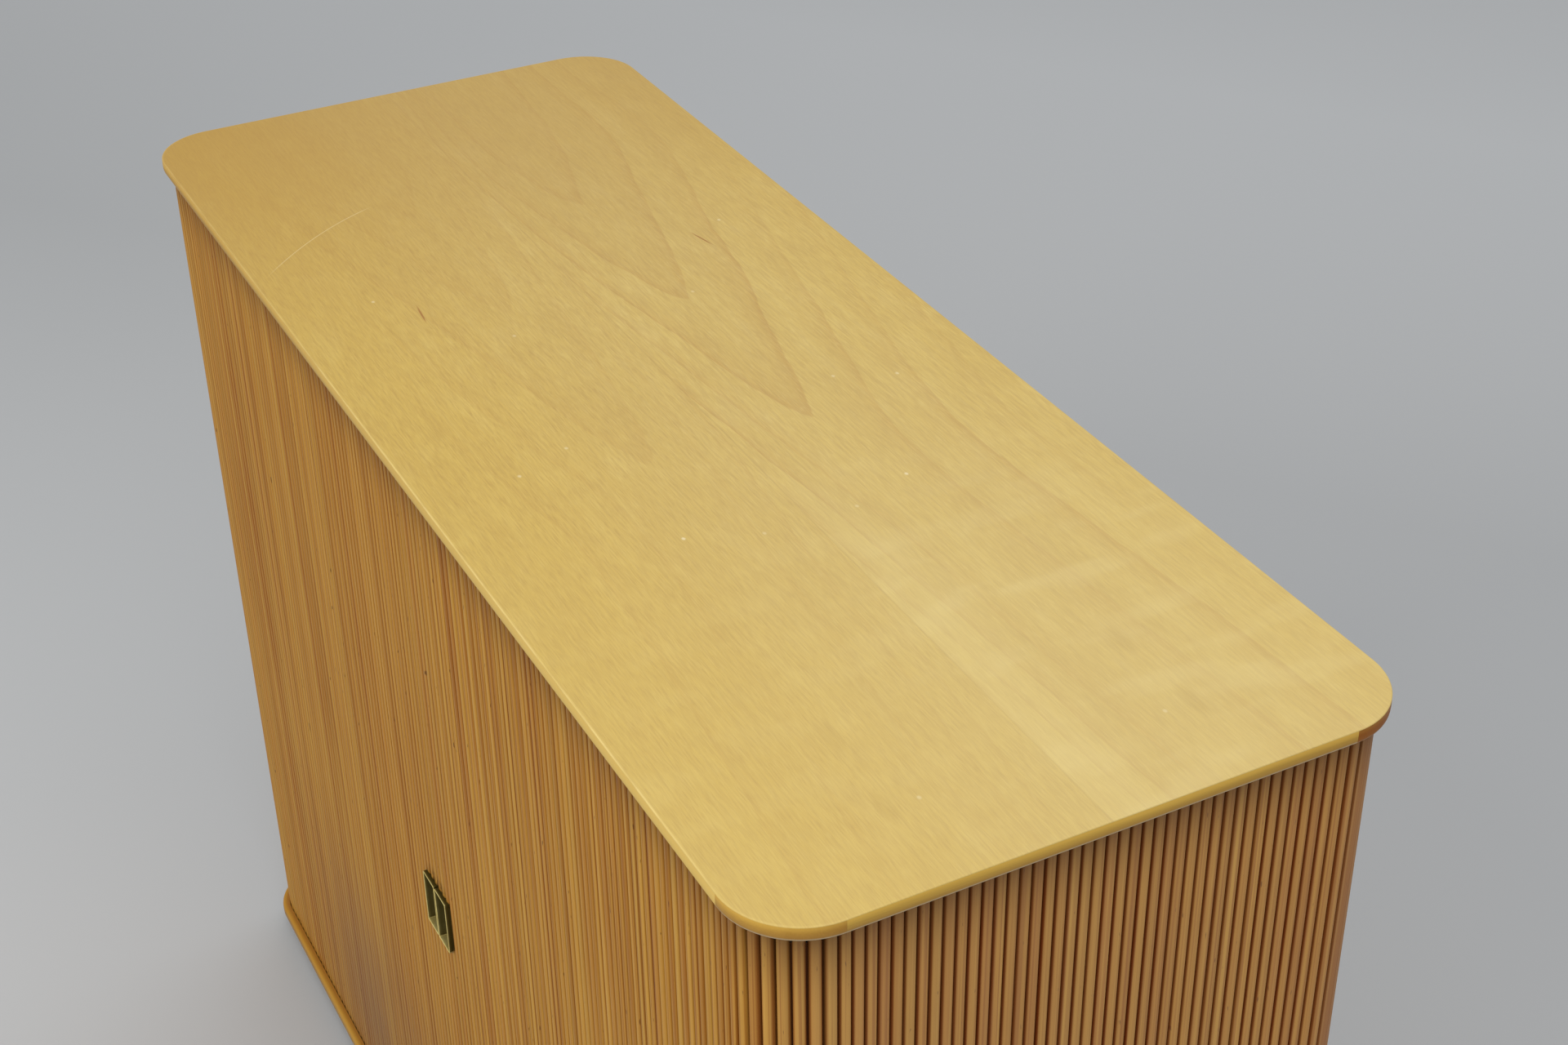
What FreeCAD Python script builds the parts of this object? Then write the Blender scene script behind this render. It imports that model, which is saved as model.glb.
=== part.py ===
import FreeCAD, Part
import math
import os

# Tambour door cabinet, in millimetres.
# X runs along the length, the front faces -Y, Z is up, and the origin is on the floor under the middle.

# Boards
top_width = 1150.0
top_depth = 435.0
corner_radius = 51.0
board_thickness = 10.5
veneer_thickness = 0.6
lipping_width = 18.0
edge_round = 2.5
arris_chamfer = 0.4

# Heights
plinth_height = 22.0
opening_height = 824.0

# Tambour slats
slat_pitch = 8.0
slat_width = 7.2
slat_thickness = 5.5
crown_radius = 8.0
shoulder_bevel = 1.3
slat_overhang = 7.5
canvas_thickness = 0.7
canvas_end_margin = 12.0
lead_slat_count = 5

# Track
groove_depth = 5.0
groove_clearance = 0.4
slat_foot_clearance = 0.2
slat_head_clearance = 0.8
track_clearance = 3.8

# Leading stiles
stile_reeds = 3
stile_thickness = 14.0
stile_end_clearance = 0.6
reed_kerf = 1.0

# Cup pulls
pull_width = 22.6
pull_height = 50.0
pull_rim_proud = 4.4
pull_rim_width = 1.5
pull_depth = 12.0
pull_wall = 0.6
pull_back_wall = 1.0
pull_corner_radius = 1.0
pull_drop = 4.5
mortise_clearance = 0.1

# Tail battens and their stops
tail_width = 20.0
tail_corner_clearance = 1.0
stop_width = 14.0
stop_height = 60.0
stop_clearance = 0.5
stop_reach = 8.0

# Carcass
post_size = 38.0
end_thickness = 16.0
inner_back_thickness = 8.0
outer_back_thickness = 3.0
outer_back_inset = 3.3
outer_back_edge_cover = 3.0
outer_back_tongue = 3.5
outer_back_groove_depth = 4.0
outer_back_clearance = 0.1
partition_thickness = 16.0
partition_front_gap = 14.5

# Shelves and cleats
shelf_thickness = 16.0
shelf_clearance = 0.5
shelf_front_setback = 5.0
lower_shelf_height = 262.0
upper_shelf_height = 530.0
cleat_width = 12.0
cleat_height = 15.0
cleat_front_setback = 20.0

# Loose tenons
tenon_width = 24.0
tenon_thickness = 8.0
tenon_in_board = 6.0
tenon_in_upright = 18.0
tenon_clearance = 0.1
tenon_end_gap = 0.5
partition_tenon_spacing = 240.0

# Plinth
plinth_setback = 45.0
plinth_rail_thickness = 20.0
plinth_block_leg = 60.0
plinth_block_height = 18.0

# Worked-out planes and centres
half_width = top_width / 2
half_depth = top_depth / 2
corner_x = half_width - corner_radius
corner_y = half_depth - corner_radius
floor_z = plinth_height + board_thickness
ceiling_z = floor_z + opening_height
top_z = ceiling_z + board_thickness
middle_z = floor_z + opening_height / 2
pull_middle_z = middle_z - pull_drop

slat_back_radius = corner_radius - slat_overhang - slat_thickness
front_line = -(corner_y + slat_back_radius)
end_line = corner_x + slat_back_radius
back_line = -front_line
slat_bottom = floor_z - groove_depth + slat_foot_clearance
slat_top = ceiling_z + groove_depth - slat_head_clearance
crown_half = slat_width / 2 - shoulder_bevel
crown_edge = slat_thickness - crown_radius + math.sqrt(crown_radius**2 - crown_half**2)
slat_shoulder = crown_edge - shoulder_bevel
canvas_bottom = floor_z + canvas_end_margin
canvas_top = ceiling_z - canvas_end_margin

# Places along a leaf, measured on the backs of its slats from the meeting line
arc_length = slat_back_radius * math.pi / 2
corner_start = corner_x
end_start = corner_start + arc_length
back_corner_start = end_start + 2 * corner_y
rear_start = back_corner_start + arc_length
stile_width = stile_reeds * slat_pitch
first_slat = stile_width + slat_pitch / 2
front_slat_total = int((corner_start - stile_width) // slat_pitch)
slat_total = int((rear_start - stile_width) // slat_pitch)
leaf_travel = (front_slat_total - lead_slat_count - 1) * slat_pitch
tail_inner_x = corner_x - tail_corner_clearance - tail_width

# Carcass planes, a track clearance inside the canvas
post_round = slat_back_radius - canvas_thickness - track_clearance
carcass_front = -(corner_y + post_round)
carcass_end = corner_x + post_round
carcass_back = -carcass_front
post_inner_x = carcass_end - post_size
front_post_back = carcass_front + post_size
back_post_front = carcass_back - post_size
end_inner_x = carcass_end - end_thickness
back_inner_y = carcass_back - inner_back_thickness
partition_front = carcass_front + partition_front_gap
half_partition = partition_thickness / 2


def vec(x, y, z=0.0):
    return FreeCAD.Vector(x, y, z)


def box(x0, x1, y0, y1, z0, z1):
    return Part.makeBox(x1 - x0, y1 - y0, z1 - z0, vec(x0, y0, z0))


def prism(points, z0, z1):
    corners = [vec(x, y, z0) for x, y in points]
    face = Part.Face(Part.makePolygon(corners + corners[:1]))
    return face.extrude(vec(0, 0, z1 - z0))


def mirrored(shape):
    return shape.mirror(vec(0, 0, 0), vec(1, 0, 0))


def group(solids):
    return Part.makeCompound(solids)


def both_sides(solids):
    return group(solids + [mirrored(s) for s in solids])


def rounded_plate(half_x, y_front, y_back, radius, z0, z1):
    """A plate with four round corners, symmetric about X = 0."""
    plate = box(-half_x, half_x, y_front, y_back, z0, z1)
    upright = [e for e in plate.Edges if abs(e.Vertexes[0].Z - e.Vertexes[-1].Z) > (z1 - z0) / 2]
    return plate.makeFillet(radius, upright)


# Boards

def lipping_section(inner_z, outer_z, place):
    """Edge profile, rounded towards the tambour at inner_z. place(u) is u inwards of the edge."""
    up = vec(0, 0, 1 if outer_z > inner_z else -1)
    inner = vec(0, 0, inner_z)
    outer = vec(0, 0, outer_z)
    lag = edge_round * (1 - math.sqrt(0.5))
    corners = [
        place(0) + inner + up * edge_round,
        place(0) + outer,
        place(lipping_width) + outer,
        place(lipping_width) + inner,
        place(edge_round) + inner,
    ]
    edges = [Part.makeLine(a, b) for a, b in zip(corners, corners[1:])]
    edges.append(Part.Arc(corners[-1], place(lag) + inner + up * lag, corners[0]).toShape())
    return Part.Face(Part.Wire(edges))


def straight_lippings(inner_z, outer_z):
    front = lipping_section(inner_z, outer_z, lambda u: vec(-corner_x, u - half_depth))
    back = lipping_section(inner_z, outer_z, lambda u: vec(-corner_x, half_depth - u))
    right = lipping_section(inner_z, outer_z, lambda u: vec(half_width - u, -corner_y))
    right_bar = right.extrude(vec(0, 2 * corner_y, 0))
    return {
        "front": front.extrude(vec(2 * corner_x, 0, 0)),
        "back": back.extrude(vec(2 * corner_x, 0, 0)),
        "left": mirrored(right_bar),
        "right": right_bar,
    }


def corner_lippings(inner_z, outer_z):
    front = lipping_section(inner_z, outer_z, lambda u: vec(corner_x, u - half_depth))
    front_corner = front.revolve(vec(corner_x, -corner_y), vec(0, 0, 1), 90)
    back = lipping_section(inner_z, outer_z, lambda u: vec(half_width - u, corner_y))
    back_corner = back.revolve(vec(corner_x, corner_y), vec(0, 0, 1), 90)
    return [front_corner, mirrored(front_corner), back_corner, mirrored(back_corner)]


def track_ring(inward, outward, z0, z1):
    """The closed channel in which the slats run, between two offsets from the backs of the slats."""
    rings = []
    for offset in (outward, -inward):
        rings.append(
            rounded_plate(
                end_line + offset,
                front_line - offset,
                back_line + offset,
                slat_back_radius + offset,
                z0,
                z1,
            )
        )
    return rings[0].cut(rings[1])


def outer_back_slot(z0, z1):
    half = corner_x - outer_back_edge_cover + outer_back_clearance
    y1 = half_depth - outer_back_inset + outer_back_clearance
    y0 = half_depth - outer_back_inset - outer_back_thickness - outer_back_clearance
    return box(-half, half, y0, y1, z0, z1)


def tenon_blocks(clearance, end_gap):
    """Flat tenons across both joints of each upright, larger by clearance all round and end_gap at each end."""
    post_x = carcass_end - post_size / 2
    front_y = carcass_front + post_size / 2
    back_y = carcass_back - post_size / 2
    partition_y = (partition_front + back_inner_y) / 2
    places = [(sx * post_x, y) for sx in (-1, 1) for y in (front_y, back_y)]
    places += [(0.0, partition_y + side * partition_tenon_spacing / 2) for side in (-1, 1)]
    half_x = tenon_thickness / 2 + clearance
    half_y = tenon_width / 2 + clearance
    spans = [
        (floor_z - tenon_in_board - end_gap, floor_z + tenon_in_upright + end_gap),
        (ceiling_z - tenon_in_upright - end_gap, ceiling_z + tenon_in_board + end_gap),
    ]
    return [
        box(x - half_x, x + half_x, y - half_y, y + half_y, low, high)
        for x, y in places
        for low, high in spans
    ]


def board(name, inner_z, outer_z, cutters):
    """Core and lippings of one board, by node name, with the cutters taken out of each. inner_z faces the tambour."""
    low = min(inner_z, outer_z)
    high = max(inner_z, outer_z)
    core_x = half_width - lipping_width
    core_y = half_depth - lipping_width
    core_radius = corner_radius - lipping_width
    pieces = {
        name + "_core": [rounded_plate(core_x, -core_y, core_y, core_radius, low, high)],
        name + "_corner_lippings": corner_lippings(inner_z, outer_z),
    }
    for side, bar in straight_lippings(inner_z, outer_z).items():
        pieces[name + "_" + side + "_lipping"] = [bar]
    return {node: group([solid.cut(cutters) for solid in solids]) for node, solids in pieces.items()}


def top_veneer():
    """Veneer over the core and the lippings, flush with the edge, its upper arris taken off."""
    seat = top_z - veneer_thickness
    sheet = rounded_plate(half_width, -half_depth, half_depth, corner_radius, seat, top_z)
    arris = [e for e in sheet.Edges if e.BoundBox.ZMin > top_z - veneer_thickness / 2]
    return sheet.makeChamfer(arris_chamfer, arris)


def boards():
    mortises = tenon_blocks(tenon_clearance, tenon_end_gap)
    groove_outer = slat_thickness + groove_clearance
    top_groove = track_ring(groove_clearance, groove_outer, ceiling_z, ceiling_z + groove_depth)
    top_slot = outer_back_slot(ceiling_z, ceiling_z + outer_back_groove_depth)
    low_groove = track_ring(groove_clearance, groove_outer, floor_z - groove_depth, floor_z)
    low_slot = outer_back_slot(floor_z - outer_back_groove_depth, floor_z)
    nodes = board("top", ceiling_z, top_z - veneer_thickness, [top_groove, top_slot] + mortises)
    nodes["top_veneer"] = top_veneer()
    nodes.update(board("bottom", floor_z, plinth_height, [low_groove, low_slot] + mortises))
    return nodes


# Tambour leaves, drawn for the right-hand leaf

def track_place(s, offset=0.0):
    """The point at distance s along the backs of the slats, moved outwards by offset, and its turn in radians."""
    if s <= corner_start:
        return vec(s, front_line - offset), 0.0
    if s <= end_start:
        turn = (s - corner_start) / slat_back_radius
        reach = slat_back_radius + offset
        return vec(corner_x + reach * math.sin(turn), -corner_y - reach * math.cos(turn)), turn
    if s <= back_corner_start:
        return vec(end_line + offset, -corner_y + s - end_start), math.pi / 2
    if s <= rear_start:
        turn = math.pi / 2 + (s - back_corner_start) / slat_back_radius
        reach = slat_back_radius + offset
        return vec(corner_x + reach * math.sin(turn), corner_y - reach * math.cos(turn)), turn
    return vec(corner_x - (s - rear_start), back_line + offset), math.pi


def track_edges(s0, s1, offset):
    """Lines and arcs of the track between two places, at an offset from the backs of the slats."""
    breaks = [b for b in (corner_start, end_start, back_corner_start, rear_start) if s0 < b < s1]
    stations = [s0] + breaks + [s1]
    edges = []
    for a, b in zip(stations, stations[1:]):
        start = track_place(a, offset)[0]
        end = track_place(b, offset)[0]
        middle = track_place((a + b) / 2, offset)
        straight = abs(math.sin(2 * middle[1])) < 1e-6
        edges.append(Part.makeLine(start, end) if straight else Part.Arc(start, middle[0], end).toShape())
    return edges


def track_strip(s0, s1, thickness, z0, z1):
    """A strip of the given thickness on the inner side of the slats' backs."""
    near = track_edges(s0, s1, 0.0)
    far = track_edges(s0, s1, -thickness)
    caps = [
        Part.makeLine(track_place(s, 0.0)[0], track_place(s, -thickness)[0]) for s in (s0, s1)
    ]
    wire = Part.Wire(Part.__sortEdges__(near + far + caps))
    face = Part.Face(wire)
    face.translate(vec(0, 0, z0))
    return face.extrude(vec(0, 0, z1 - z0))


def reed_edges(middle, back):
    """Bevelled and crowned face of one reed, from its right-hand shoulder to its left-hand one."""
    half = slat_width / 2
    points = [
        vec(middle + half, back - slat_shoulder),
        vec(middle + crown_half, back - crown_edge),
        vec(middle, back - slat_thickness),
        vec(middle - crown_half, back - crown_edge),
        vec(middle - half, back - slat_shoulder),
    ]
    return [
        Part.makeLine(points[0], points[1]),
        Part.Arc(points[1], points[2], points[3]).toShape(),
        Part.makeLine(points[3], points[4]),
    ]


def slat_blank():
    """One slat with its back on Y = 0 and its crowned face towards -Y."""
    half = slat_width / 2
    edges = [
        Part.makeLine(vec(-half, 0), vec(half, 0)),
        Part.makeLine(vec(half, 0), vec(half, -slat_shoulder)),
    ]
    edges += reed_edges(0.0, 0.0)
    edges.append(Part.makeLine(vec(-half, -slat_shoulder), vec(-half, 0)))
    face = Part.Face(Part.Wire(edges))
    face.translate(vec(0, 0, slat_bottom))
    return face.extrude(vec(0, 0, slat_top - slat_bottom))


def slats(first, last):
    """Slats numbered first up to, but not including, last."""
    blank = slat_blank()
    made = []
    for number in range(first, last):
        place, turn = track_place(first_slat + number * slat_pitch)
        slat = blank.copy()
        slat.rotate(vec(0, 0), vec(0, 0, 1), math.degrees(turn))
        slat.translate(place)
        made.append(slat)
    return made


def slat_numbers_before(place):
    """How many slats have their middle before a place on the track."""
    return int(math.ceil((place - first_slat) / slat_pitch))


def stile_profile():
    """Plan of the leading stile: as many reeds as pitches, with kerfs between them."""
    back = front_line + stile_thickness - slat_thickness
    shoulder = front_line - slat_shoulder
    kerf_floor = shoulder + reed_kerf
    half = slat_width / 2
    middles = [(number + 0.5) * slat_pitch for number in range(stile_reeds)]
    start = vec(middles[0] - half, back)
    corner = vec(middles[-1] + half, back)
    edges = [Part.makeLine(start, corner)]
    here = corner
    for number, middle in reversed(list(enumerate(middles))):
        left = vec(middle - half, shoulder)
        edges.append(Part.makeLine(here, vec(middle + half, shoulder)))
        edges += reed_edges(middle, front_line)
        here = left
        if number:
            low = vec(left.x, kerf_floor)
            across = vec(middles[number - 1] + half, kerf_floor)
            edges.append(Part.makeLine(left, low))
            edges.append(Part.makeLine(low, across))
            here = across
    edges.append(Part.makeLine(here, start))
    return Part.Face(Part.Wire(edges))


# Cup pulls

pull_middle_x = stile_width / 2
reed_front = front_line - slat_thickness
rim_front = reed_front - pull_rim_proud
cup_floor = rim_front + pull_depth
cup_back = cup_floor + pull_back_wall


def pull_block(width, height, y0, y1):
    return box(
        pull_middle_x - width / 2,
        pull_middle_x + width / 2,
        y0,
        y1,
        pull_middle_z - height / 2,
        pull_middle_z + height / 2,
    )


def cup_pull():
    """A brass cup with a flat rim round its mouth."""
    mouth_width = pull_width - 2 * pull_rim_width
    mouth_height = pull_height - 2 * pull_rim_width
    rim = pull_block(pull_width, pull_height, rim_front, reed_front)
    along = [e for e in rim.Edges if abs(e.tangentAt(e.FirstParameter).y) > 0.9]
    rim = rim.makeFillet(pull_corner_radius, along)
    cup = pull_block(mouth_width + 2 * pull_wall, mouth_height + 2 * pull_wall, reed_front, cup_back)
    hollow = pull_block(mouth_width, mouth_height, rim_front, cup_floor)
    return rim.fuse(cup).cut(hollow).removeSplitter()


def leading_stile():
    """Reeded stile, thicker than the slats, with tongues for the grooves and a blind mortise for the pull."""
    face = stile_profile()
    face.translate(vec(0, 0, slat_bottom))
    stile = face.extrude(vec(0, 0, slat_top - slat_bottom))
    back = front_line + stile_thickness
    low_rebate = box(0, stile_width, front_line, back, slat_bottom, floor_z + stile_end_clearance)
    high_rebate = box(0, stile_width, front_line, back, ceiling_z - stile_end_clearance, slat_top)
    cup_width = pull_width - 2 * pull_rim_width + 2 * pull_wall
    cup_height = pull_height - 2 * pull_rim_width + 2 * pull_wall
    mortise = pull_block(
        cup_width + 2 * mortise_clearance,
        cup_height + 2 * mortise_clearance,
        rim_front,
        cup_back,
    )
    return stile.cut([low_rebate, high_rebate, mortise])


def tail_batten():
    """Plain flat end slat on the straight run behind the back."""
    return box(
        tail_inner_x,
        tail_inner_x + tail_width,
        back_line,
        back_line + slat_thickness,
        slat_bottom,
        slat_top,
    )


def leaf():
    """Solids of the right-hand leaf, by name."""
    corner_first = front_slat_total
    end_first = slat_numbers_before(end_start)
    back_first = slat_numbers_before(back_corner_start)
    lead_end = stile_width + lead_slat_count * slat_pitch
    front_end = stile_width + front_slat_total * slat_pitch
    last_end = stile_width + slat_total * slat_pitch
    return {
        "lead_stile": [leading_stile()],
        "pull": [cup_pull()],
        "lead_slats": slats(0, lead_slat_count),
        "lead_canvas": [track_strip(stile_width, lead_end, canvas_thickness, canvas_bottom, canvas_top)],
        "front_slats": slats(lead_slat_count, corner_first),
        "front_canvas": [track_strip(lead_end, front_end, canvas_thickness, canvas_bottom, canvas_top)],
        "front_corner_slats": slats(corner_first, end_first),
        "end_slats": slats(end_first, back_first),
        "back_corner_slats": slats(back_first, slat_total),
        "end_canvas": [track_strip(front_end, last_end, canvas_thickness, canvas_bottom, canvas_top)],
        "tail_batten": [tail_batten()],
    }


# Carcass

def corner_post(y_outer, y_inner):
    """Square post whose outer corner follows the track."""
    post = box(post_inner_x, carcass_end, min(y_outer, y_inner), max(y_outer, y_inner), floor_z, ceiling_z)
    outer = [
        e
        for e in post.Edges
        if abs(e.BoundBox.XMin - carcass_end) < 1e-6
        and abs(e.BoundBox.XMax - carcass_end) < 1e-6
        and abs(e.BoundBox.YMin - y_outer) < 1e-6
        and abs(e.BoundBox.YMax - y_outer) < 1e-6
    ]
    return post.makeFillet(post_round, outer)


def shelf_outline():
    """Right-hand shelf, notched round the corner posts."""
    near = half_partition + shelf_clearance
    far = end_inner_x - shelf_clearance
    post = post_inner_x - shelf_clearance
    front = partition_front + shelf_front_setback
    back = back_inner_y - shelf_clearance
    notch_front = front_post_back + shelf_clearance
    notch_back = back_post_front - shelf_clearance
    return [
        (near, front),
        (post, front),
        (post, notch_front),
        (far, notch_front),
        (far, notch_back),
        (post, notch_back),
        (post, back),
        (near, back),
    ]


def shelf(height):
    low = floor_z + height
    return prism(shelf_outline(), low, low + shelf_thickness)


def shelf_cleats():
    """Right-hand cleats: a strip on the partition and one on the end panel under each shelf."""
    made = []
    for height in (lower_shelf_height, upper_shelf_height):
        high = floor_z + height
        low = high - cleat_height
        front = front_post_back + cleat_front_setback
        made.append(box(half_partition, half_partition + cleat_width, front, back_post_front, low, high))
        made.append(box(end_inner_x - cleat_width, end_inner_x, front, back_post_front, low, high))
    return made


def carcass():
    mortises = tenon_blocks(tenon_clearance, tenon_end_gap)
    front_post = corner_post(carcass_front, front_post_back).cut(mortises)
    back_post = corner_post(carcass_back, back_post_front).cut(mortises)
    end = box(end_inner_x, carcass_end, front_post_back, back_post_front, floor_z, ceiling_z)
    partition = box(-half_partition, half_partition, partition_front, back_inner_y, floor_z, ceiling_z)
    outer_half = corner_x - outer_back_edge_cover
    outer_y = half_depth - outer_back_inset
    lower = shelf(lower_shelf_height)
    upper = shelf(upper_shelf_height)
    stop = box(
        tail_inner_x - leaf_travel - stop_clearance - stop_width,
        tail_inner_x - leaf_travel - stop_clearance,
        carcass_back,
        carcass_back + stop_reach,
        middle_z - stop_height / 2,
        middle_z + stop_height / 2,
    )
    return {
        "left_front_post": mirrored(front_post),
        "right_front_post": front_post,
        "left_back_post": mirrored(back_post),
        "right_back_post": back_post,
        "left_end_panel": mirrored(end),
        "right_end_panel": end,
        "centre_partition": partition.cut(mortises),
        "inner_back_panel": box(-post_inner_x, post_inner_x, back_inner_y, carcass_back, floor_z, ceiling_z),
        "outer_back_panel": box(
            -outer_half,
            outer_half,
            outer_y - outer_back_thickness,
            outer_y,
            floor_z - outer_back_tongue,
            ceiling_z + outer_back_tongue,
        ),
        "left_lower_shelf": mirrored(lower),
        "left_upper_shelf": mirrored(upper),
        "right_lower_shelf": lower,
        "right_upper_shelf": upper,
        "shelf_cleats": both_sides(shelf_cleats()),
        "loose_tenons": group(tenon_blocks(0.0, 0.0)),
        "track_stops": both_sides([stop]),
    }


# Plinth

def plinth():
    x = half_width - plinth_setback
    y = half_depth - plinth_setback
    t = plinth_rail_thickness
    leg = plinth_block_leg
    low = plinth_height - plinth_block_height
    side = box(x - t, x, t - y, y - t, 0, plinth_height)
    block = prism([(x - t, t - y), (x - t, t - y + leg), (x - t - leg, t - y)], low, plinth_height)
    back_block = block.mirror(vec(0, 0, 0), vec(0, 1, 0))
    return {
        "plinth_front_rail": box(-x, x, -y, t - y, 0, plinth_height),
        "plinth_back_rail": box(-x, x, y - t, y, 0, plinth_height),
        "plinth_left_rail": mirrored(side),
        "plinth_right_rail": side,
        "plinth_centre_rail": box(-t / 2, t / 2, t - y, y - t, 0, plinth_height),
        "plinth_corner_blocks": both_sides([block, back_block]),
    }


nodes = boards()
nodes.update(carcass())
nodes.update(plinth())
for piece, solids in leaf().items():
    nodes["right_" + piece] = group(solids)
    nodes["left_" + piece] = group([mirrored(s) for s in solids])

os.makedirs("parts", exist_ok=True)
for node, shape in nodes.items():
    shape.exportStep("parts/" + node + ".step")
print(len(nodes), "nodes, leaf travel", leaf_travel)
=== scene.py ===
import bmesh
import bpy
import math
import random
from mathutils import Matrix, Vector


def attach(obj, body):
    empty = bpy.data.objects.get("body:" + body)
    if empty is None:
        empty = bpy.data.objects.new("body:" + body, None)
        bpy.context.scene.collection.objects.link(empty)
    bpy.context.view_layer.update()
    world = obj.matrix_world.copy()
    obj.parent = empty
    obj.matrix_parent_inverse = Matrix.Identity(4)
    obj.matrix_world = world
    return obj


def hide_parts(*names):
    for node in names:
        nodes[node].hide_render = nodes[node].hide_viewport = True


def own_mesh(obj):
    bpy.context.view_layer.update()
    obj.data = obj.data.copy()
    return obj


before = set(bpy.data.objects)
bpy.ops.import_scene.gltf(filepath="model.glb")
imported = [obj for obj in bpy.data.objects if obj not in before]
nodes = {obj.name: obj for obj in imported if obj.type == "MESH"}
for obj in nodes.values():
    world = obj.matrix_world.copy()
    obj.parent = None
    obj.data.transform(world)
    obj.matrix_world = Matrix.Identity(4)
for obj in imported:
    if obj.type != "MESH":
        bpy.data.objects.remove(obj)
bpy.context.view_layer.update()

# Sizes in metres, the same as those of the solids
MM = 0.001
HALF_WIDTH = 575 * MM
HALF_DEPTH = 217.5 * MM
CORNER_RADIUS = 51 * MM
CORNER_X = HALF_WIDTH - CORNER_RADIUS
CORNER_Y = HALF_DEPTH - CORNER_RADIUS
BOARD = 10.5 * MM
LIPPING = 18 * MM
VENEER = 0.6 * MM
BOTTOM_Z = 22 * MM
FLOOR_Z = BOTTOM_Z + BOARD
CEILING_Z = FLOOR_Z + 824 * MM
TOP_Z = CEILING_Z + BOARD
JOINT_GAP = 0.08 * MM
GROOVE = (7.1 * MM, 13.4 * MM, 5 * MM)
BACK_SLOT = (3.2 * MM, 6.4 * MM, 4 * MM)

PITCH = 8 * MM
SLAT_WIDTH = 7.2 * MM
SLAT_THICK = 5.5 * MM
SLAT_BOTTOM = 27.7 * MM
SLAT_TOP = 860.7 * MM
BACK_RADIUS = 38 * MM
FRONT_LINE = -204.5 * MM
END_LINE = 562 * MM
BACK_LINE = 204.5 * MM
CANVAS = 0.7 * MM
CANVAS_LOW = 44.5 * MM
CANVAS_HIGH = 844.5 * MM
STILE_WIDTH = 3 * PITCH
STILE_BACK = -196 * MM
STILE_GAP = 0.6 * MM
FIRST_SLAT = STILE_WIDTH + PITCH / 2
LEAD_END = 64 * MM
FRONT_END = 520 * MM
LAST_END = 976 * MM

PULL_X = 12 * MM
PULL_Z = 440 * MM
PULL_HALF_W = 11.3 * MM
PULL_HALF_H = 25 * MM
RIM_FRONT = -213.4 * MM
REED_FRONT = -210 * MM
CUP_FLOOR = -202.4 * MM
CUP_BACK = -201.4 * MM
MORTISE_HALF_W = 10.5 * MM
MORTISE_HALF_H = 24.2 * MM

ARC = BACK_RADIUS * math.pi / 2
CORNER_START = CORNER_X
END_START = CORNER_START + ARC
BACK_START = END_START + 2 * CORNER_Y
REAR_START = BACK_START + ARC
SIDES = (("right", 1), ("left", -1))


# Node graphs

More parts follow.
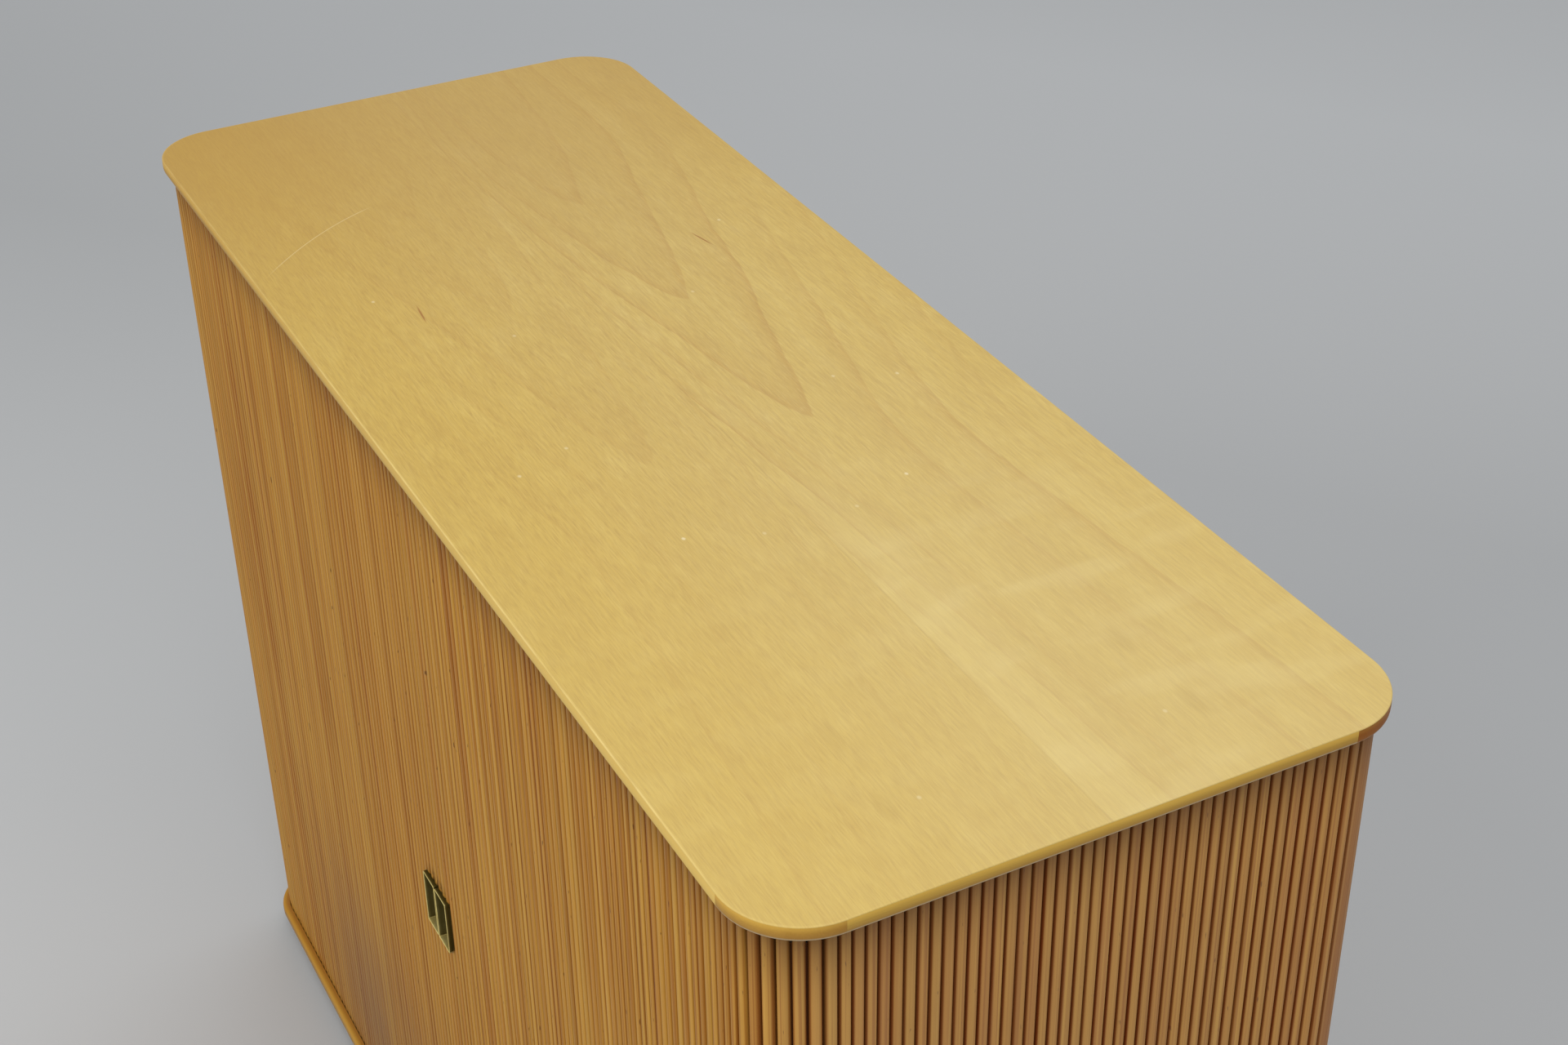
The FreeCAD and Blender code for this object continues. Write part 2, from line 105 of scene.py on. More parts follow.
class Graph:
    """A node material: each method adds a node and gives back its output."""

    def __init__(self, name):
        self.material = bpy.data.materials.new(name)
        self.material.use_nodes = True
        self.tree = self.material.node_tree
        self.tree.nodes.clear()
        self.shader = self.node("ShaderNodeBsdfPrincipled")
        out = self.node("ShaderNodeOutputMaterial")
        self.tree.links.new(self.shader.outputs[0], out.inputs[0])

    def node(self, kind, **settings):
        made = self.tree.nodes.new(kind)
        for key, value in settings.items():
            setattr(made, key, value)
        return made

    def feed(self, socket, value):
        if isinstance(value, bpy.types.NodeSocket):
            self.tree.links.new(value, socket)
        else:
            socket.default_value = value

    def set(self, **inputs):
        for key, value in inputs.items():
            self.feed(self.shader.inputs[key.replace("_", " ")], value)

    def math(self, operation, a, b=0.0, c=0.0):
        made = self.node("ShaderNodeMath", operation=operation)
        for socket, value in zip(made.inputs, (a, b, c)):
            self.feed(socket, value)
        return made.outputs[0]

    def add(self, *values):
        total = values[0]
        for value in values[1:]:
            total = self.math("ADD", total, value)
        return total

    def mul(self, *values):
        total = values[0]
        for value in values[1:]:
            total = self.math("MULTIPLY", total, value)
        return total

    def sub(self, a, b):
        return self.math("SUBTRACT", a, b)

    def place(self):
        return self.node("ShaderNodeTexCoord").outputs["Object"]

    def split(self, vector):
        made = self.node("ShaderNodeSeparateXYZ")
        self.feed(made.inputs[0], vector)
        return made.outputs

    def join(self, x, y, z=0.0):
        made = self.node("ShaderNodeCombineXYZ")
        for socket, value in zip(made.inputs, (x, y, z)):
            self.feed(socket, value)
        return made.outputs[0]

    def scaled(self, vector, scale):
        made = self.node("ShaderNodeMapping")
        self.feed(made.inputs["Vector"], vector)
        made.inputs["Scale"].default_value = scale
        return made.outputs[0]

    def noise(self, vector, scale, detail, roughness=0.55):
        made = self.node("ShaderNodeTexNoise")
        self.feed(made.inputs["Vector"], vector)
        made.inputs["Scale"].default_value = scale
        made.inputs["Detail"].default_value = detail
        made.inputs["Roughness"].default_value = roughness
        return made.outputs[0]

    def grain(self, place, along, across, detail, roughness=0.55):
        """Noise drawn out along x."""
        return self.noise(self.scaled(place, (along, across, 1.0)), 1.0, detail, roughness)

    def random(self, number):
        made = self.node("ShaderNodeTexWhiteNoise", noise_dimensions="1D")
        self.feed(made.inputs["W"], number)
        return made.outputs[0]

    def span(self, value, low, high, to_low=0.0, to_high=1.0, smooth=True):
        made = self.node("ShaderNodeMapRange")
        made.interpolation_type = "SMOOTHSTEP" if smooth else "LINEAR"
        for socket, number in zip(made.inputs, (value, low, high, to_low, to_high)):
            self.feed(socket, number)
        return made.outputs[0]

    def ramp(self, value, *stops):
        made = self.node("ShaderNodeValToRGB")
        elements = made.color_ramp.elements
        while len(elements) < len(stops):
            elements.new(1.0)
        for element, (where, level) in zip(elements, stops):
            element.position = where
            element.color = (level, level, level, 1.0)
        self.feed(made.inputs[0], value)
        return made.outputs[0]

    def mix(self, share, a, b, blend="MIX"):
        made = self.node("ShaderNodeMix", data_type="RGBA", blend_type=blend)
        self.feed(made.inputs[0], share)
        for socket, value in zip((made.inputs[6], made.inputs[7]), (a, b)):
            self.feed(socket, (*value, 1.0) if isinstance(value, tuple) else value)
        return made.outputs[2]

    def value(self, name):
        made = self.node("ShaderNodeAttribute", attribute_name=name)
        return made.outputs["Fac"]

    def bump(self, height, strength, distance):
        made = self.node("ShaderNodeBump")
        made.inputs["Strength"].default_value = strength
        made.inputs["Distance"].default_value = distance
        self.feed(made.inputs["Height"], height)
        return made.outputs[0]


# Materials: veneer of the top

# Marks in mm: (along, from the seam), with a strength for specks, and (x, y) for the scratch
PALE_SPECKS = (
    (209.7, 82.5, 1.0), (69.5, 103.5, 0.6), (88, 145.5, 0.7), (-199, 146, 0.7),
    (-97, 73, 0.5), (507, 82, 0.5), (229, 34, 0.45),
)
DARK_FLECK = (-175, 119)
SMUDGES = ((436, 99), (506, 102))
SCRATCH = ((-359, -91), (-324, -154), (-273, -210))
NEAR_FLECK_ALONG = 13 * MM
NEAR_FLECK_OUT = 2 * MM

# The pointed figure of both leaves
SEAM_Y = -1.6 * MM
FIGURE_AXIS = 64 * MM
FIGURE_BEND = 150 * MM
FIGURE_LEAN = 0.07
RING_LENGTH = 195 * MM
RING_WIDTHS = (39 * MM, 50 * MM)
RING_WANDER = 22 * MM
LEAF_SLIP = 46 * MM
LATE_WOOD_RISE = ((0.0, 0.0), (0.45, 0.04), (0.86, 0.40), (0.970, 1.0), (0.990, 0.85), (1.0, 0.0))

# Colours of the veneer
GROUND_DEEP = (0.590, 0.396, 0.080)
GROUND_PALE = (0.660, 0.459, 0.104)
MOTTLE_PALE = (0.76, 0.575, 0.175)
MOTTLE_DEEP = (0.470, 0.290, 0.055)
RING_BROWN = (0.490, 0.300, 0.056)
LATE_BROWN = (0.480, 0.262, 0.048)
FIBRE_BROWN = (0.40, 0.235, 0.055)
PORE_BROWN = (0.42, 0.245, 0.055)
DASH_PALE = (0.76, 0.58, 0.18)
STREAK_PALE = (0.76, 0.58, 0.17)
STREAK_DEEP = (0.43, 0.255, 0.052)
CURL_PALE = (0.78, 0.62, 0.23)
GLOW_PALE = (0.74, 0.57, 0.19)
NEAR_LEAF_BROWN = (0.48, 0.295, 0.062)
SEAM_BROWN = (0.35, 0.20, 0.05)
RIGHT_END_PALE_AND_SHEEN = (0.722, 0.552, 0.194)
LEFT_END_WARM_AND_SHADE = (0.45, 0.250, 0.036)
EDGE_SHEEN_FREE_TINT = (0.985, 0.965, 0.890)
MIDDLE_SHEEN_TINT = (1.010, 1.036, 1.270)
SPECK_PALE = (0.86, 0.74, 0.46)
FLECK_BROWN = (0.350, 0.138, 0.016)
ARRIS_RUB_AND_HIGHLIGHT = (0.900, 0.690, 0.270)
SCRATCH_PALE = (0.83, 0.68, 0.36)


def spot(g, x, v, centre, length, width):
    """1 at a mark's middle, falling to 0 at its edge."""
    dx = g.mul(g.sub(x, centre[0] * MM), 1 / (length * MM))
    dv = g.mul(g.sub(v, centre[1] * MM), 1 / (width * MM))
    reach = g.math("SQRT", g.add(g.mul(dx, dx), g.mul(dv, dv)))
    return g.span(reach, 1.0, 0.35)


def largest(g, values):
    top = values[0]
    for value in values[1:]:
        top = g.math("MAXIMUM", top, value)
    return top


def scratch(g, x, y):
    """A fine bent line through three points of the top."""
    (x0, y0), (x1, y1), (x2, y2) = SCRATCH
    lean = g.add(g.mul(g.sub(y, y0 * MM), (x2 - x0) / (y2 - y0)), x0 * MM)
    middle = x0 + (x2 - x0) * (y1 - y0) / (y2 - y0)
    along = g.span(y, y0 * MM, y2 * MM, 0.0, 1.0, smooth=False)
    bow = g.mul(g.mul(along, g.sub(1.0, along)), 4 * (x1 - middle) * MM)
    off = g.math("ABSOLUTE", g.sub(x, g.add(lean, bow)))
    line = g.span(off, 0.75 * MM, 0.15 * MM)
    ends = g.mul(g.span(y, y2 * MM, (y2 + 25) * MM), g.span(y, y0 * MM, (y0 - 12) * MM))
    return g.mul(line, ends)


def veneer_figure(g, x, v, near_leaf):
    """Pointed rings of flat-cut wood: the share of late wood, and the share by which a whole ring is darker."""
    wander = g.sub(g.noise(g.join(g.mul(x, 2.6), g.mul(v, 9.0), near_leaf), 1.0, 3.0), 0.5)
    ripple = g.sub(g.noise(g.join(g.mul(x, 14.0), g.mul(v, 38.0), near_leaf), 1.0, 2.0), 0.5)
    axis = g.add(g.mul(g.math("MAXIMUM", g.sub(x, FIGURE_BEND), 0.0), FIGURE_LEAN), FIGURE_AXIS)
    across = g.add(g.sub(v, axis), g.mul(wander, RING_WANDER))
    off = g.math("ABSOLUTE", across)
    width = g.mul(g.span(across, -6 * MM, 6 * MM, *RING_WIDTHS), g.span(x, -HALF_WIDTH, -0.34, 0.68, 1.0))
    bowl = g.math("POWER", g.math("DIVIDE", off, width), g.span(across, -6 * MM, 6 * MM, 1.7, 1.15))
    slip = g.mul(near_leaf, g.span(x, 0.06, -0.16, 0.0, LEAF_SLIP))
    run = g.math("SMOOTH_MIN", g.add(x, slip), 0.17, 0.12)
    level = g.add(bowl, g.mul(run, 1 / RING_LENGTH), g.mul(ripple, 0.16), 0.42)
    number = g.math("FLOOR", level)
    strength = g.mul(
        g.span(g.random(number), 0.0, 1.0, 0.55, 0.95, smooth=False),
        g.span(off, 60 * MM, 120 * MM, 1.0, 0.35),
        g.span(level, -2.0, -1.75),
        g.span(near_leaf, 0.0, 1.0, 1.0, 0.48),
    )
    late = g.mul(g.ramp(g.math("FRACT", level), *LATE_WOOD_RISE), strength)
    own = g.mul(g.random(g.add(number, 11.0)), g.span(off, 75 * MM, 30 * MM), g.span(near_leaf, 0.0, 1.0, 0.24, 0.10))
    return late, own


def veneer_grain(g, place, near_leaf, late, own):
    """Mottled ground, rings, fibres, pores and streaks: the colour, then the cloud, the fibre and the pores."""
    cloud = g.grain(place, 2.2, 9.0, 2.0)
    mottle = g.grain(place, 15.0, 38.0, 4.0, 0.6)
    fibre = g.grain(place, 36.0, 520.0, 3.0, 0.7)
    dash = g.grain(place, 85.0, 1100.0, 1.0)
    pore = g.span(dash, 0.54, 0.72)
    streak = g.grain(place, 5.0, 150.0, 4.0, 0.65)
    tone = g.mix(cloud, GROUND_DEEP, GROUND_PALE)
    tone = g.mix(g.span(mottle, 0.50, 0.30, 0.0, 0.20), tone, MOTTLE_PALE)
    tone = g.mix(g.span(mottle, 0.50, 0.72, 0.0, 0.12), tone, MOTTLE_DEEP)
    tone = g.mix(own, tone, RING_BROWN)
    tone = g.mix(g.mul(late, 0.70), tone, LATE_BROWN)
    tone = g.mix(g.span(fibre, 0.30, 0.66, 0.36, 0.0), tone, FIBRE_BROWN)
    tone = g.mix(g.mul(pore, g.span(near_leaf, 0.0, 1.0, 0.20, 0.34)), tone, PORE_BROWN)
    tone = g.mix(g.span(dash, 0.46, 0.30, 0.0, 0.20), tone, DASH_PALE)
    tone = g.mix(g.span(streak, 0.48, 0.74, 0.0, 0.15), tone, STREAK_PALE)
    tone = g.mix(g.span(streak, 0.48, 0.26, 0.0, 0.10), tone, STREAK_DEEP)
    return tone, cloud, fibre, pore


def veneer_areas(g, place, x, y, v, near_leaf, tone):
    """Broad differences: curl and glow towards the right end, the near leaf, the seam, a paler tone with painted
    sheen at the right end, a warmer tone with painted shade at the left end, and a painted sheen over the middle.
    """
    curl = g.grain(place, 32.0, 11.0, 2.0)
    flash = g.mul(g.span(curl, 0.46, 0.70), g.span(x, 0.14, 0.36), g.span(near_leaf, 0.0, 1.0, 0.22, 0.09))
    tone = g.mix(flash, tone, CURL_PALE)
    patch = g.span(g.grain(place, 9.0, 26.0, 2.0), 0.30, 0.65, 0.4, 1.0)
    glow = g.mul(g.sub(1.0, near_leaf), g.span(v, 62 * MM, 12 * MM), g.span(x, 0.10, 0.34), g.mul(patch, 0.29))
    tone = g.mix(glow, tone, GLOW_PALE)
    tone = g.mix(g.mul(near_leaf, g.span(x, -0.25, 0.35, 0.02, 0.10)), tone, NEAR_LEAF_BROWN)
    tone = g.mix(g.mul(g.span(v, 0.9 * MM, 0.2 * MM), 0.22), tone, SEAM_BROWN)
    # Paler tone with painted sheen towards the right end of the top
    right_end = g.mul(g.span(x, -0.05, 0.55), g.span(y, -0.17, 0.05, 0.26, 0.35))
    tone = g.mix(right_end, tone, RIGHT_END_PALE_AND_SHEEN)
    # Warmer tone with painted shade towards the left end of the top
    left_end = g.mul(g.span(x, -0.05, -0.58), g.span(y, -0.20, 0.12, 0.72, 0.48))
    tone = g.mix(left_end, tone, LEFT_END_WARM_AND_SHADE)
    # Painted sheen: a bluish-white tint over the middle of the top, yellower towards its edges
    middle = g.mul(g.span(g.math("ABSOLUTE", g.sub(y, 0.075)), 0.28, 0.03), g.span(x, 0.50, 0.05, 0.80, 1.0))
    return g.mix(1.0, tone, g.mix(middle, EDGE_SHEEN_FREE_TINT, MIDDLE_SHEEN_TINT), "MULTIPLY")


def veneer_marks(g, place, x, y, v, near_leaf, tone):
    """Specks, a fleck on each leaf, smudges, pale rubbing with a painted highlight on the front arris, and the
    scratch: the colour and the scratch.
    """
    pale = largest(g, [g.mul(spot(g, x, v, at[:2], 2.4, 1.8), at[2]) for at in PALE_SPECKS])
    tone = g.mix(g.mul(pale, 0.62), tone, SPECK_PALE)
    moved = g.sub(x, g.mul(near_leaf, NEAR_FLECK_ALONG))
    lean = g.mul(g.sub(moved, DARK_FLECK[0] * MM), g.span(near_leaf, 0.0, 1.0, 0.20, 0.11))
    slant = g.sub(v, g.add(lean, g.mul(near_leaf, NEAR_FLECK_OUT)))
    tone = g.mix(g.mul(spot(g, moved, slant, DARK_FLECK, 18, 1.1), 0.88), tone, FLECK_BROWN)
    smudge = largest(g, [spot(g, x, v, at, 20, 8) for at in SMUDGES])
    tone = g.mix(g.mul(smudge, 0.16), tone, FIBRE_BROWN)
    # Pale rubbing and a painted highlight along the front arris of the veneer
    handled_and_lit = g.mul(
        g.span(y, -0.12, -0.20, 0.08, 0.60),
        g.span(x, 0.46, 0.54, 1.0, 0.30),
        g.span(x, -0.35, 0.15, 0.45, 1.0),
    )
    arris_patches = g.span(g.grain(place, 28.0, 28.0, 3.0), 0.35, 0.60, 0.35, 0.85)
    tone = g.mix(g.mul(g.value("marked"), arris_patches, handled_and_lit), tone, ARRIS_RUB_AND_HIGHLIGHT)
    line = scratch(g, x, y)
    return g.mix(g.mul(line, 0.48), tone, SCRATCH_PALE), line


def veneer_material():
    """Two mirrored leaves of pale flat-cut veneer with a faint pointed figure."""
    g = Graph("top_veneer_wood")
    place = g.place()
    x, y = g.split(place)[:2]
    v = g.math("ABSOLUTE", g.sub(y, SEAM_Y))
    near_leaf = g.math("LESS_THAN", y, SEAM_Y)
    late, own = veneer_figure(g, x, v, near_leaf)
    tone, cloud, fibre, pore = veneer_grain(g, place, near_leaf, late, own)
    tone = veneer_areas(g, place, x, y, v, near_leaf, tone)
    tone, line = veneer_marks(g, place, x, y, v, near_leaf, tone)
    height = g.add(g.mul(fibre, 0.5), g.mul(pore, -0.35), g.mul(line, 0.6), g.mul(late, -0.25))
    rough = g.add(g.span(cloud, 0.3, 0.7, 0.40, 0.47), g.mul(line, 0.2), g.mul(fibre, 0.06))
    g.set(Base_Color=tone, Roughness=rough, Normal=g.bump(height, 0.12, 0.0004))
    g.set(Specular_IOR_Level=0.36, Coat_Weight=0.10, Coat_Roughness=0.34)
    return g.material


# Materials: plain wood and lippings

TOP_LIPPING_WOOD = ((0.620, 0.378, 0.068), (0.545, 0.306, 0.047))
LOW_LIPPING_WOOD = ((0.430, 0.212, 0.026), (0.335, 0.148, 0.015))
LIPPING_BROWN = (0.245, 0.060, 0.004)
LIPPING_PALE = (0.800, 0.550, 0.140)
LIPPING_LOW_SHADE = (0.292, 0.143, 0.040)
LIPPING_FLOOR_REFLECTION = (0.560, 0.465, 0.310)
LIPPING_SHADE = (0.330, 0.132, 0.022)


def stretch(axis, along, across):
    """Scale that is short along one axis, for grain that runs that way."""
    return tuple(along if name == axis else across for name in "XYZ")


def wood_grain(g, place, axis, pale, deep, contrast):
    """Colour, broad figure and fine fibre of plain wood with its grain along one axis."""
    figure = g.noise(g.scaled(place, stretch(axis, 1.6, 22.0)), 1.0, 3.0, 0.55)
    ring = g.noise(g.scaled(place, stretch(axis, 2.4, 95.0)), 1.0, 2.0, 0.5)
    fibre = g.noise(g.scaled(place, stretch(axis, 22.0, 900.0)), 1.0, 2.0, 0.65)
    colour = g.mix(g.span(figure, 0.25, 0.75), pale, deep)
    line = g.mul(g.span(ring, 0.46, 0.66), contrast)
    colour = g.mix(g.mul(line, 0.5), colour, tuple(0.55 * c for c in deep))
    colour = g.mix(g.span(fibre, 0.30, 0.70, 0.16, 0.0), colour, tuple(0.45 * c for c in deep))
    return colour, figure, fibre


def wood_material(name, axis, pale, deep, contrast, rough):
    """Plain wood with its grain along one axis."""
    g = Graph(name)
    colour, figure, fibre = wood_grain(g, g.place(), axis, pale, deep, contrast)
    roughness = g.add(g.span(figure, 0.2, 0.8, rough - 0.05, rough + 0.05), g.mul(fibre, 0.05))
    g.set(Base_Color=colour, Roughness=roughness, Normal=g.bump(fibre, 0.16, 0.0004), Specular_IOR_Level=0.4)
    return g.material


def lipping_material(name, axis, pale, deep, low_z, high_z):
    """Solid edging: each piece has its own tone, with a painted highlight at the upper arris, painted shade towards
    the lower edge, a painted reflection of the floor along it, and painted shade on the face by the groove.
    """
    g = Graph(name)
    x, y, z = g.split(g.place())
    tone = g.value("tone")
    seed = g.value("seed")
    place = g.join(g.add(x, seed), g.add(y, seed), g.add(z, seed))
    colour, figure, fibre = wood_grain(g, place, axis, pale, deep, 0.4)
    colour = g.mix(g.span(tone, 0.5, 1.0, 0.0, 0.92, smooth=False), colour, LIPPING_BROWN)
    colour = g.mix(g.span(tone, 0.5, 0.0, 0.0, 0.80, smooth=False), colour, LIPPING_PALE)
    rise = g.span(z, low_z, high_z, smooth=False)
    shading_share = g.mul(g.span(tone, 0.6, 0.9, 1.0, 0.25), g.span(tone, 0.0, 0.48, 0.20, 1.0))
    # Painted shade towards the lower edge of the lipping
    colour = g.mix(g.mul(g.span(rise, 0.75, 0.15), g.mul(shading_share, 0.62)), colour, LIPPING_LOW_SHADE)
    # Painted reflection of the floor along the lower edge of the lipping
    floor_reflection = g.mul(g.span(rise, 0.28, 0.12), g.span(tone, 0.72, 0.9, 0.70, 0.15), g.span(tone, 0.38, 0.49))
    colour = g.mix(floor_reflection, colour, LIPPING_FLOOR_REFLECTION)
    # Painted highlight along the upper arris of the lipping
    colour = g.mix(g.mul(g.span(rise, 0.55, 0.97), g.mul(shading_share, 0.46)), colour, tuple(1.36 * c for c in pale))
    colour = g.mix(g.span(g.value("inset"), 2.4 * MM, 5.6 * MM, 0.0, 0.72), colour, LIPPING_SHADE)
    roughness = g.add(g.span(figure, 0.2, 0.8, 0.34, 0.42), g.mul(fibre, 0.05))
    g.set(Base_Color=colour, Roughness=roughness, Normal=g.bump(fibre, 0.16, 0.0004))
    g.set(Specular_IOR_Level=0.08, Coat_Weight=0.03, Coat_Roughness=0.16)
    return g.material


def lipping_materials(name, colours, low_z, high_z):
    """One material for each way that the grain of a board's lippings runs."""
    return {axis: lipping_material(name + axis.lower(), axis, *colours, low_z, high_z) for axis in "XY"}


# Materials: slats

# The greyish patch low on the front, and the painted shadow under the top board
GREY_PATCH_X = -0.190
GREY_PATCH_REACH = 0.27
GREY_PATCH_TOP = 0.38
SHADE_DEPTH = 66 * MM

# Colours of the slats
SLAT_PALE = (0.572, 0.294, 0.046)
SLAT_DEEP = (0.388, 0.160, 0.020)
SLAT_RED = (0.410, 0.148, 0.028)
SLAT_YELLOW = (0.515, 0.305, 0.058)
SLAT_LINE = (0.270, 0.088, 0.008)
SLAT_EARLY = (0.650, 0.370, 0.070)
SLAT_FIBRE = (0.23, 0.075, 0.007)
SLAT_CLOUD = (0.600, 0.340, 0.062)
SLAT_FLECK = (0.085, 0.028, 0.005)
SLAT_END_LIGHT_TINT = (0.570, 0.325, 0.180)
SLAT_BACK = (0.330, 0.104, 0.018)
SLAT_JOINT_DIRT_AND_SHADE = (0.180, 0.034, 0.006)
SLAT_TOP_SHADOW = (0.105, 0.042, 0.012)
SLAT_GREY_PATCH = (0.225, 0.128, 0.075)
SLAT_SMEAR = (0.060, 0.024, 0.008)


def slat_grain(g, z, seed, along, across):
    """A slat's own tone and hue with fine dark lines along it: the colour, the lines and the fibre."""
    cross = g.mul(across, 3.75)
    wobble = g.sub(g.noise(g.join(seed, g.mul(z, 2.2)), 1.0, 2.0), 0.5)
    ring = g.noise(g.join(g.add(g.mul(cross, 0.62), g.mul(wobble, 1.6)), g.mul(z, 0.9), seed), 1.0, 2.0, 0.5)
    fibre = g.noise(g.join(g.mul(cross, 3.2), g.mul(z, 24.0), seed), 1.0, 3.0, 0.65)
    cloud = g.noise(g.join(g.mul(along, 7.0), g.mul(z, 4.5), 3.0), 1.0, 2.0)
    fleck = g.span(g.noise(g.join(g.mul(cross, 0.55), g.mul(z, 95.0), g.add(seed, 7.0)), 1.0, 1.0), 0.74, 0.80)
    hue = g.random(g.add(seed, 5.0))
    colour = g.mix(g.value("tone"), SLAT_PALE, SLAT_DEEP)
    colour = g.mix(g.span(hue, 0.55, 1.0, 0.0, 0.34), colour, SLAT_RED)
    colour = g.mix(g.span(hue, 0.45, 0.0, 0.0, 0.34), colour, SLAT_YELLOW)
    colour = g.mix(g.span(ring, 0.48, 0.66, 0.0, 0.65), colour, SLAT_LINE)
    colour = g.mix(g.span(ring, 0.46, 0.28, 0.0, 0.42), colour, SLAT_EARLY)
    colour = g.mix(g.span(fibre, 0.34, 0.70, 0.0, 0.24), colour, SLAT_FIBRE)
    colour = g.mix(g.span(cloud, 0.35, 0.70, 0.0, 0.16), colour, SLAT_CLOUD)
    colour = g.mix(g.mul(fleck, 0.75), colour, SLAT_FLECK)
    return colour, ring, fibre


def slat_dirt_and_shade(g, z, seed, far, colour):
    """Ends of the cabinet with a painted tint, dirt and painted shade in the joints, and painted shadow under the top
    board: the colour and the joints.
    """
    turned = g.span(far, CORNER_START, END_START)
    # Painted tint on the ends for the different light that falls there
    colour = g.mix(g.mul(turned, 0.20), colour, SLAT_END_LIGHT_TINT)
    colour = g.mix(g.span(far, 0.80, 0.92, 0.0, 0.10), colour, SLAT_BACK)
    strong = g.math("GREATER_THAN", g.random(g.add(seed, 3.0)), 0.78)
    gutter = g.span(g.sub(g.value("depth"), g.mul(strong, 0.035)), 0.92, 0.72)
    bent = g.mul(g.math("GREATER_THAN", far, CORNER_START), g.math("LESS_THAN", far, END_START))
    least = g.span(turned, 0.0, 1.0, 0.06, 0.76, smooth=False)
    most = g.span(turned, 0.0, 1.0, 0.92, 0.97, smooth=False)
    share = g.math("POWER", g.random(seed), 2.0)
    dirt_and_shade = g.sub(g.span(share, 0.0, 1.0, least, most, smooth=False), g.mul(bent, 0.15))
    # Dirt and painted shade in the joints between slats, heavier on the ends and lighter on the bent corners
    colour = g.mix(g.mul(gutter, dirt_and_shade), colour, SLAT_JOINT_DIRT_AND_SHADE)
    # Painted shadow on the slats under the overhang of the top board
    under = g.span(z, CEILING_Z - SHADE_DEPTH, CEILING_Z, smooth=False)
    top_shadow = g.mul(g.mul(under, under), g.span(turned, 0.0, 0.5, 0.70, 0.80, smooth=False))
    return g.mix(top_shadow, colour, SLAT_TOP_SHADOW), gutter


def slat_patch_and_smear(g, z, seed, along, across, far, colour):
    """The greyish patch low on the front, and the dark smear above the pulls."""
    # A greyish patch low on the front
    left = g.math("ABSOLUTE", g.sub(along, GREY_PATCH_X))
    marked = g.mul(g.span(left, GREY_PATCH_REACH, 0.02), g.span(z, GREY_PATCH_TOP, 0.06))
    patch = g.noise(g.join(g.mul(along, 7.0), g.mul(z, 3.5), 9.0), 1.0, 3.0)
    colour = g.mix(g.mul(marked, g.span(patch, 0.25, 0.70, 0.45, 1.0), 0.74), colour, SLAT_GREY_PATCH)
    touch = g.mul(
        g.span(far, 26 * MM, 6 * MM),
        g.span(z, PULL_Z + 40 * MM, PULL_Z + 27 * MM),
        g.span(z, PULL_Z + 16 * MM, PULL_Z + 24 * MM),
    )
    smear = g.noise(g.join(g.mul(across, 1.3), g.mul(z, 90.0), seed), 1.0, 2.0)
    return g.mix(g.mul(touch, g.span(smear, 0.40, 0.60), 0.75), colour, SLAT_SMEAR)


def slat_material():
    """Warm straight-grained conifer, with dirt and painted shade in the joints, a painted tint on the ends, painted
    shadow under the top board and a greyish patch low on the front.
    """
    g = Graph("slat_wood")
    z = g.split(g.place())[2]
    seed = g.value("seed")
    across = g.value("across")
    along = g.value("along")
    far = g.math("ABSOLUTE", along)
    colour, ring, fibre = slat_grain(g, z, seed, along, across)
    colour, gutter = slat_dirt_and_shade(g, z, seed, far, colour)
    colour = slat_patch_and_smear(g, z, seed, along, across, far, colour)
    roughness = g.add(g.span(ring, 0.3, 0.7, 0.44, 0.52), g.mul(fibre, 0.06), g.mul(gutter, 0.25))
    height = g.add(g.mul(fibre, 0.6), g.mul(ring, 0.4))
    g.set(Base_Color=colour, Roughness=roughness, Normal=g.bump(height, 0.18, 0.0004))
    g.set(Specular_IOR_Level=g.span(gutter, 0.0, 1.0, 0.19, 0.02, smooth=False))
    return g.material


# Materials: brass, canvas and floor

BRASS_PALE = (0.94, 0.79, 0.31)
BRASS_DULL = (0.80, 0.64, 0.22)
BRASS_SPOT = (0.28, 0.19, 0.055)
BRASS_PATINA_AND_SHADE = (0.048, 0.034, 0.002)
LEDGE_Z = PULL_Z - 23.1 * MM

THREAD = 1.1 * MM
CANVAS_DEEP = (0.33, 0.265, 0.165)
CANVAS_PALE = (0.50, 0.42, 0.285)
CANVAS_SLUB = (0.56, 0.48, 0.34)
CANVAS_SOIL = (0.26, 0.19, 0.10)
CANVAS_GLUE_AND_SHADE = (0.110, 0.026, 0.005)

FLOOR_DEEP = (0.590, 0.602, 0.612)
FLOOR_PALE = (0.620, 0.627, 0.634)
FLOOR_FAR = (0.930, 0.945, 0.955)


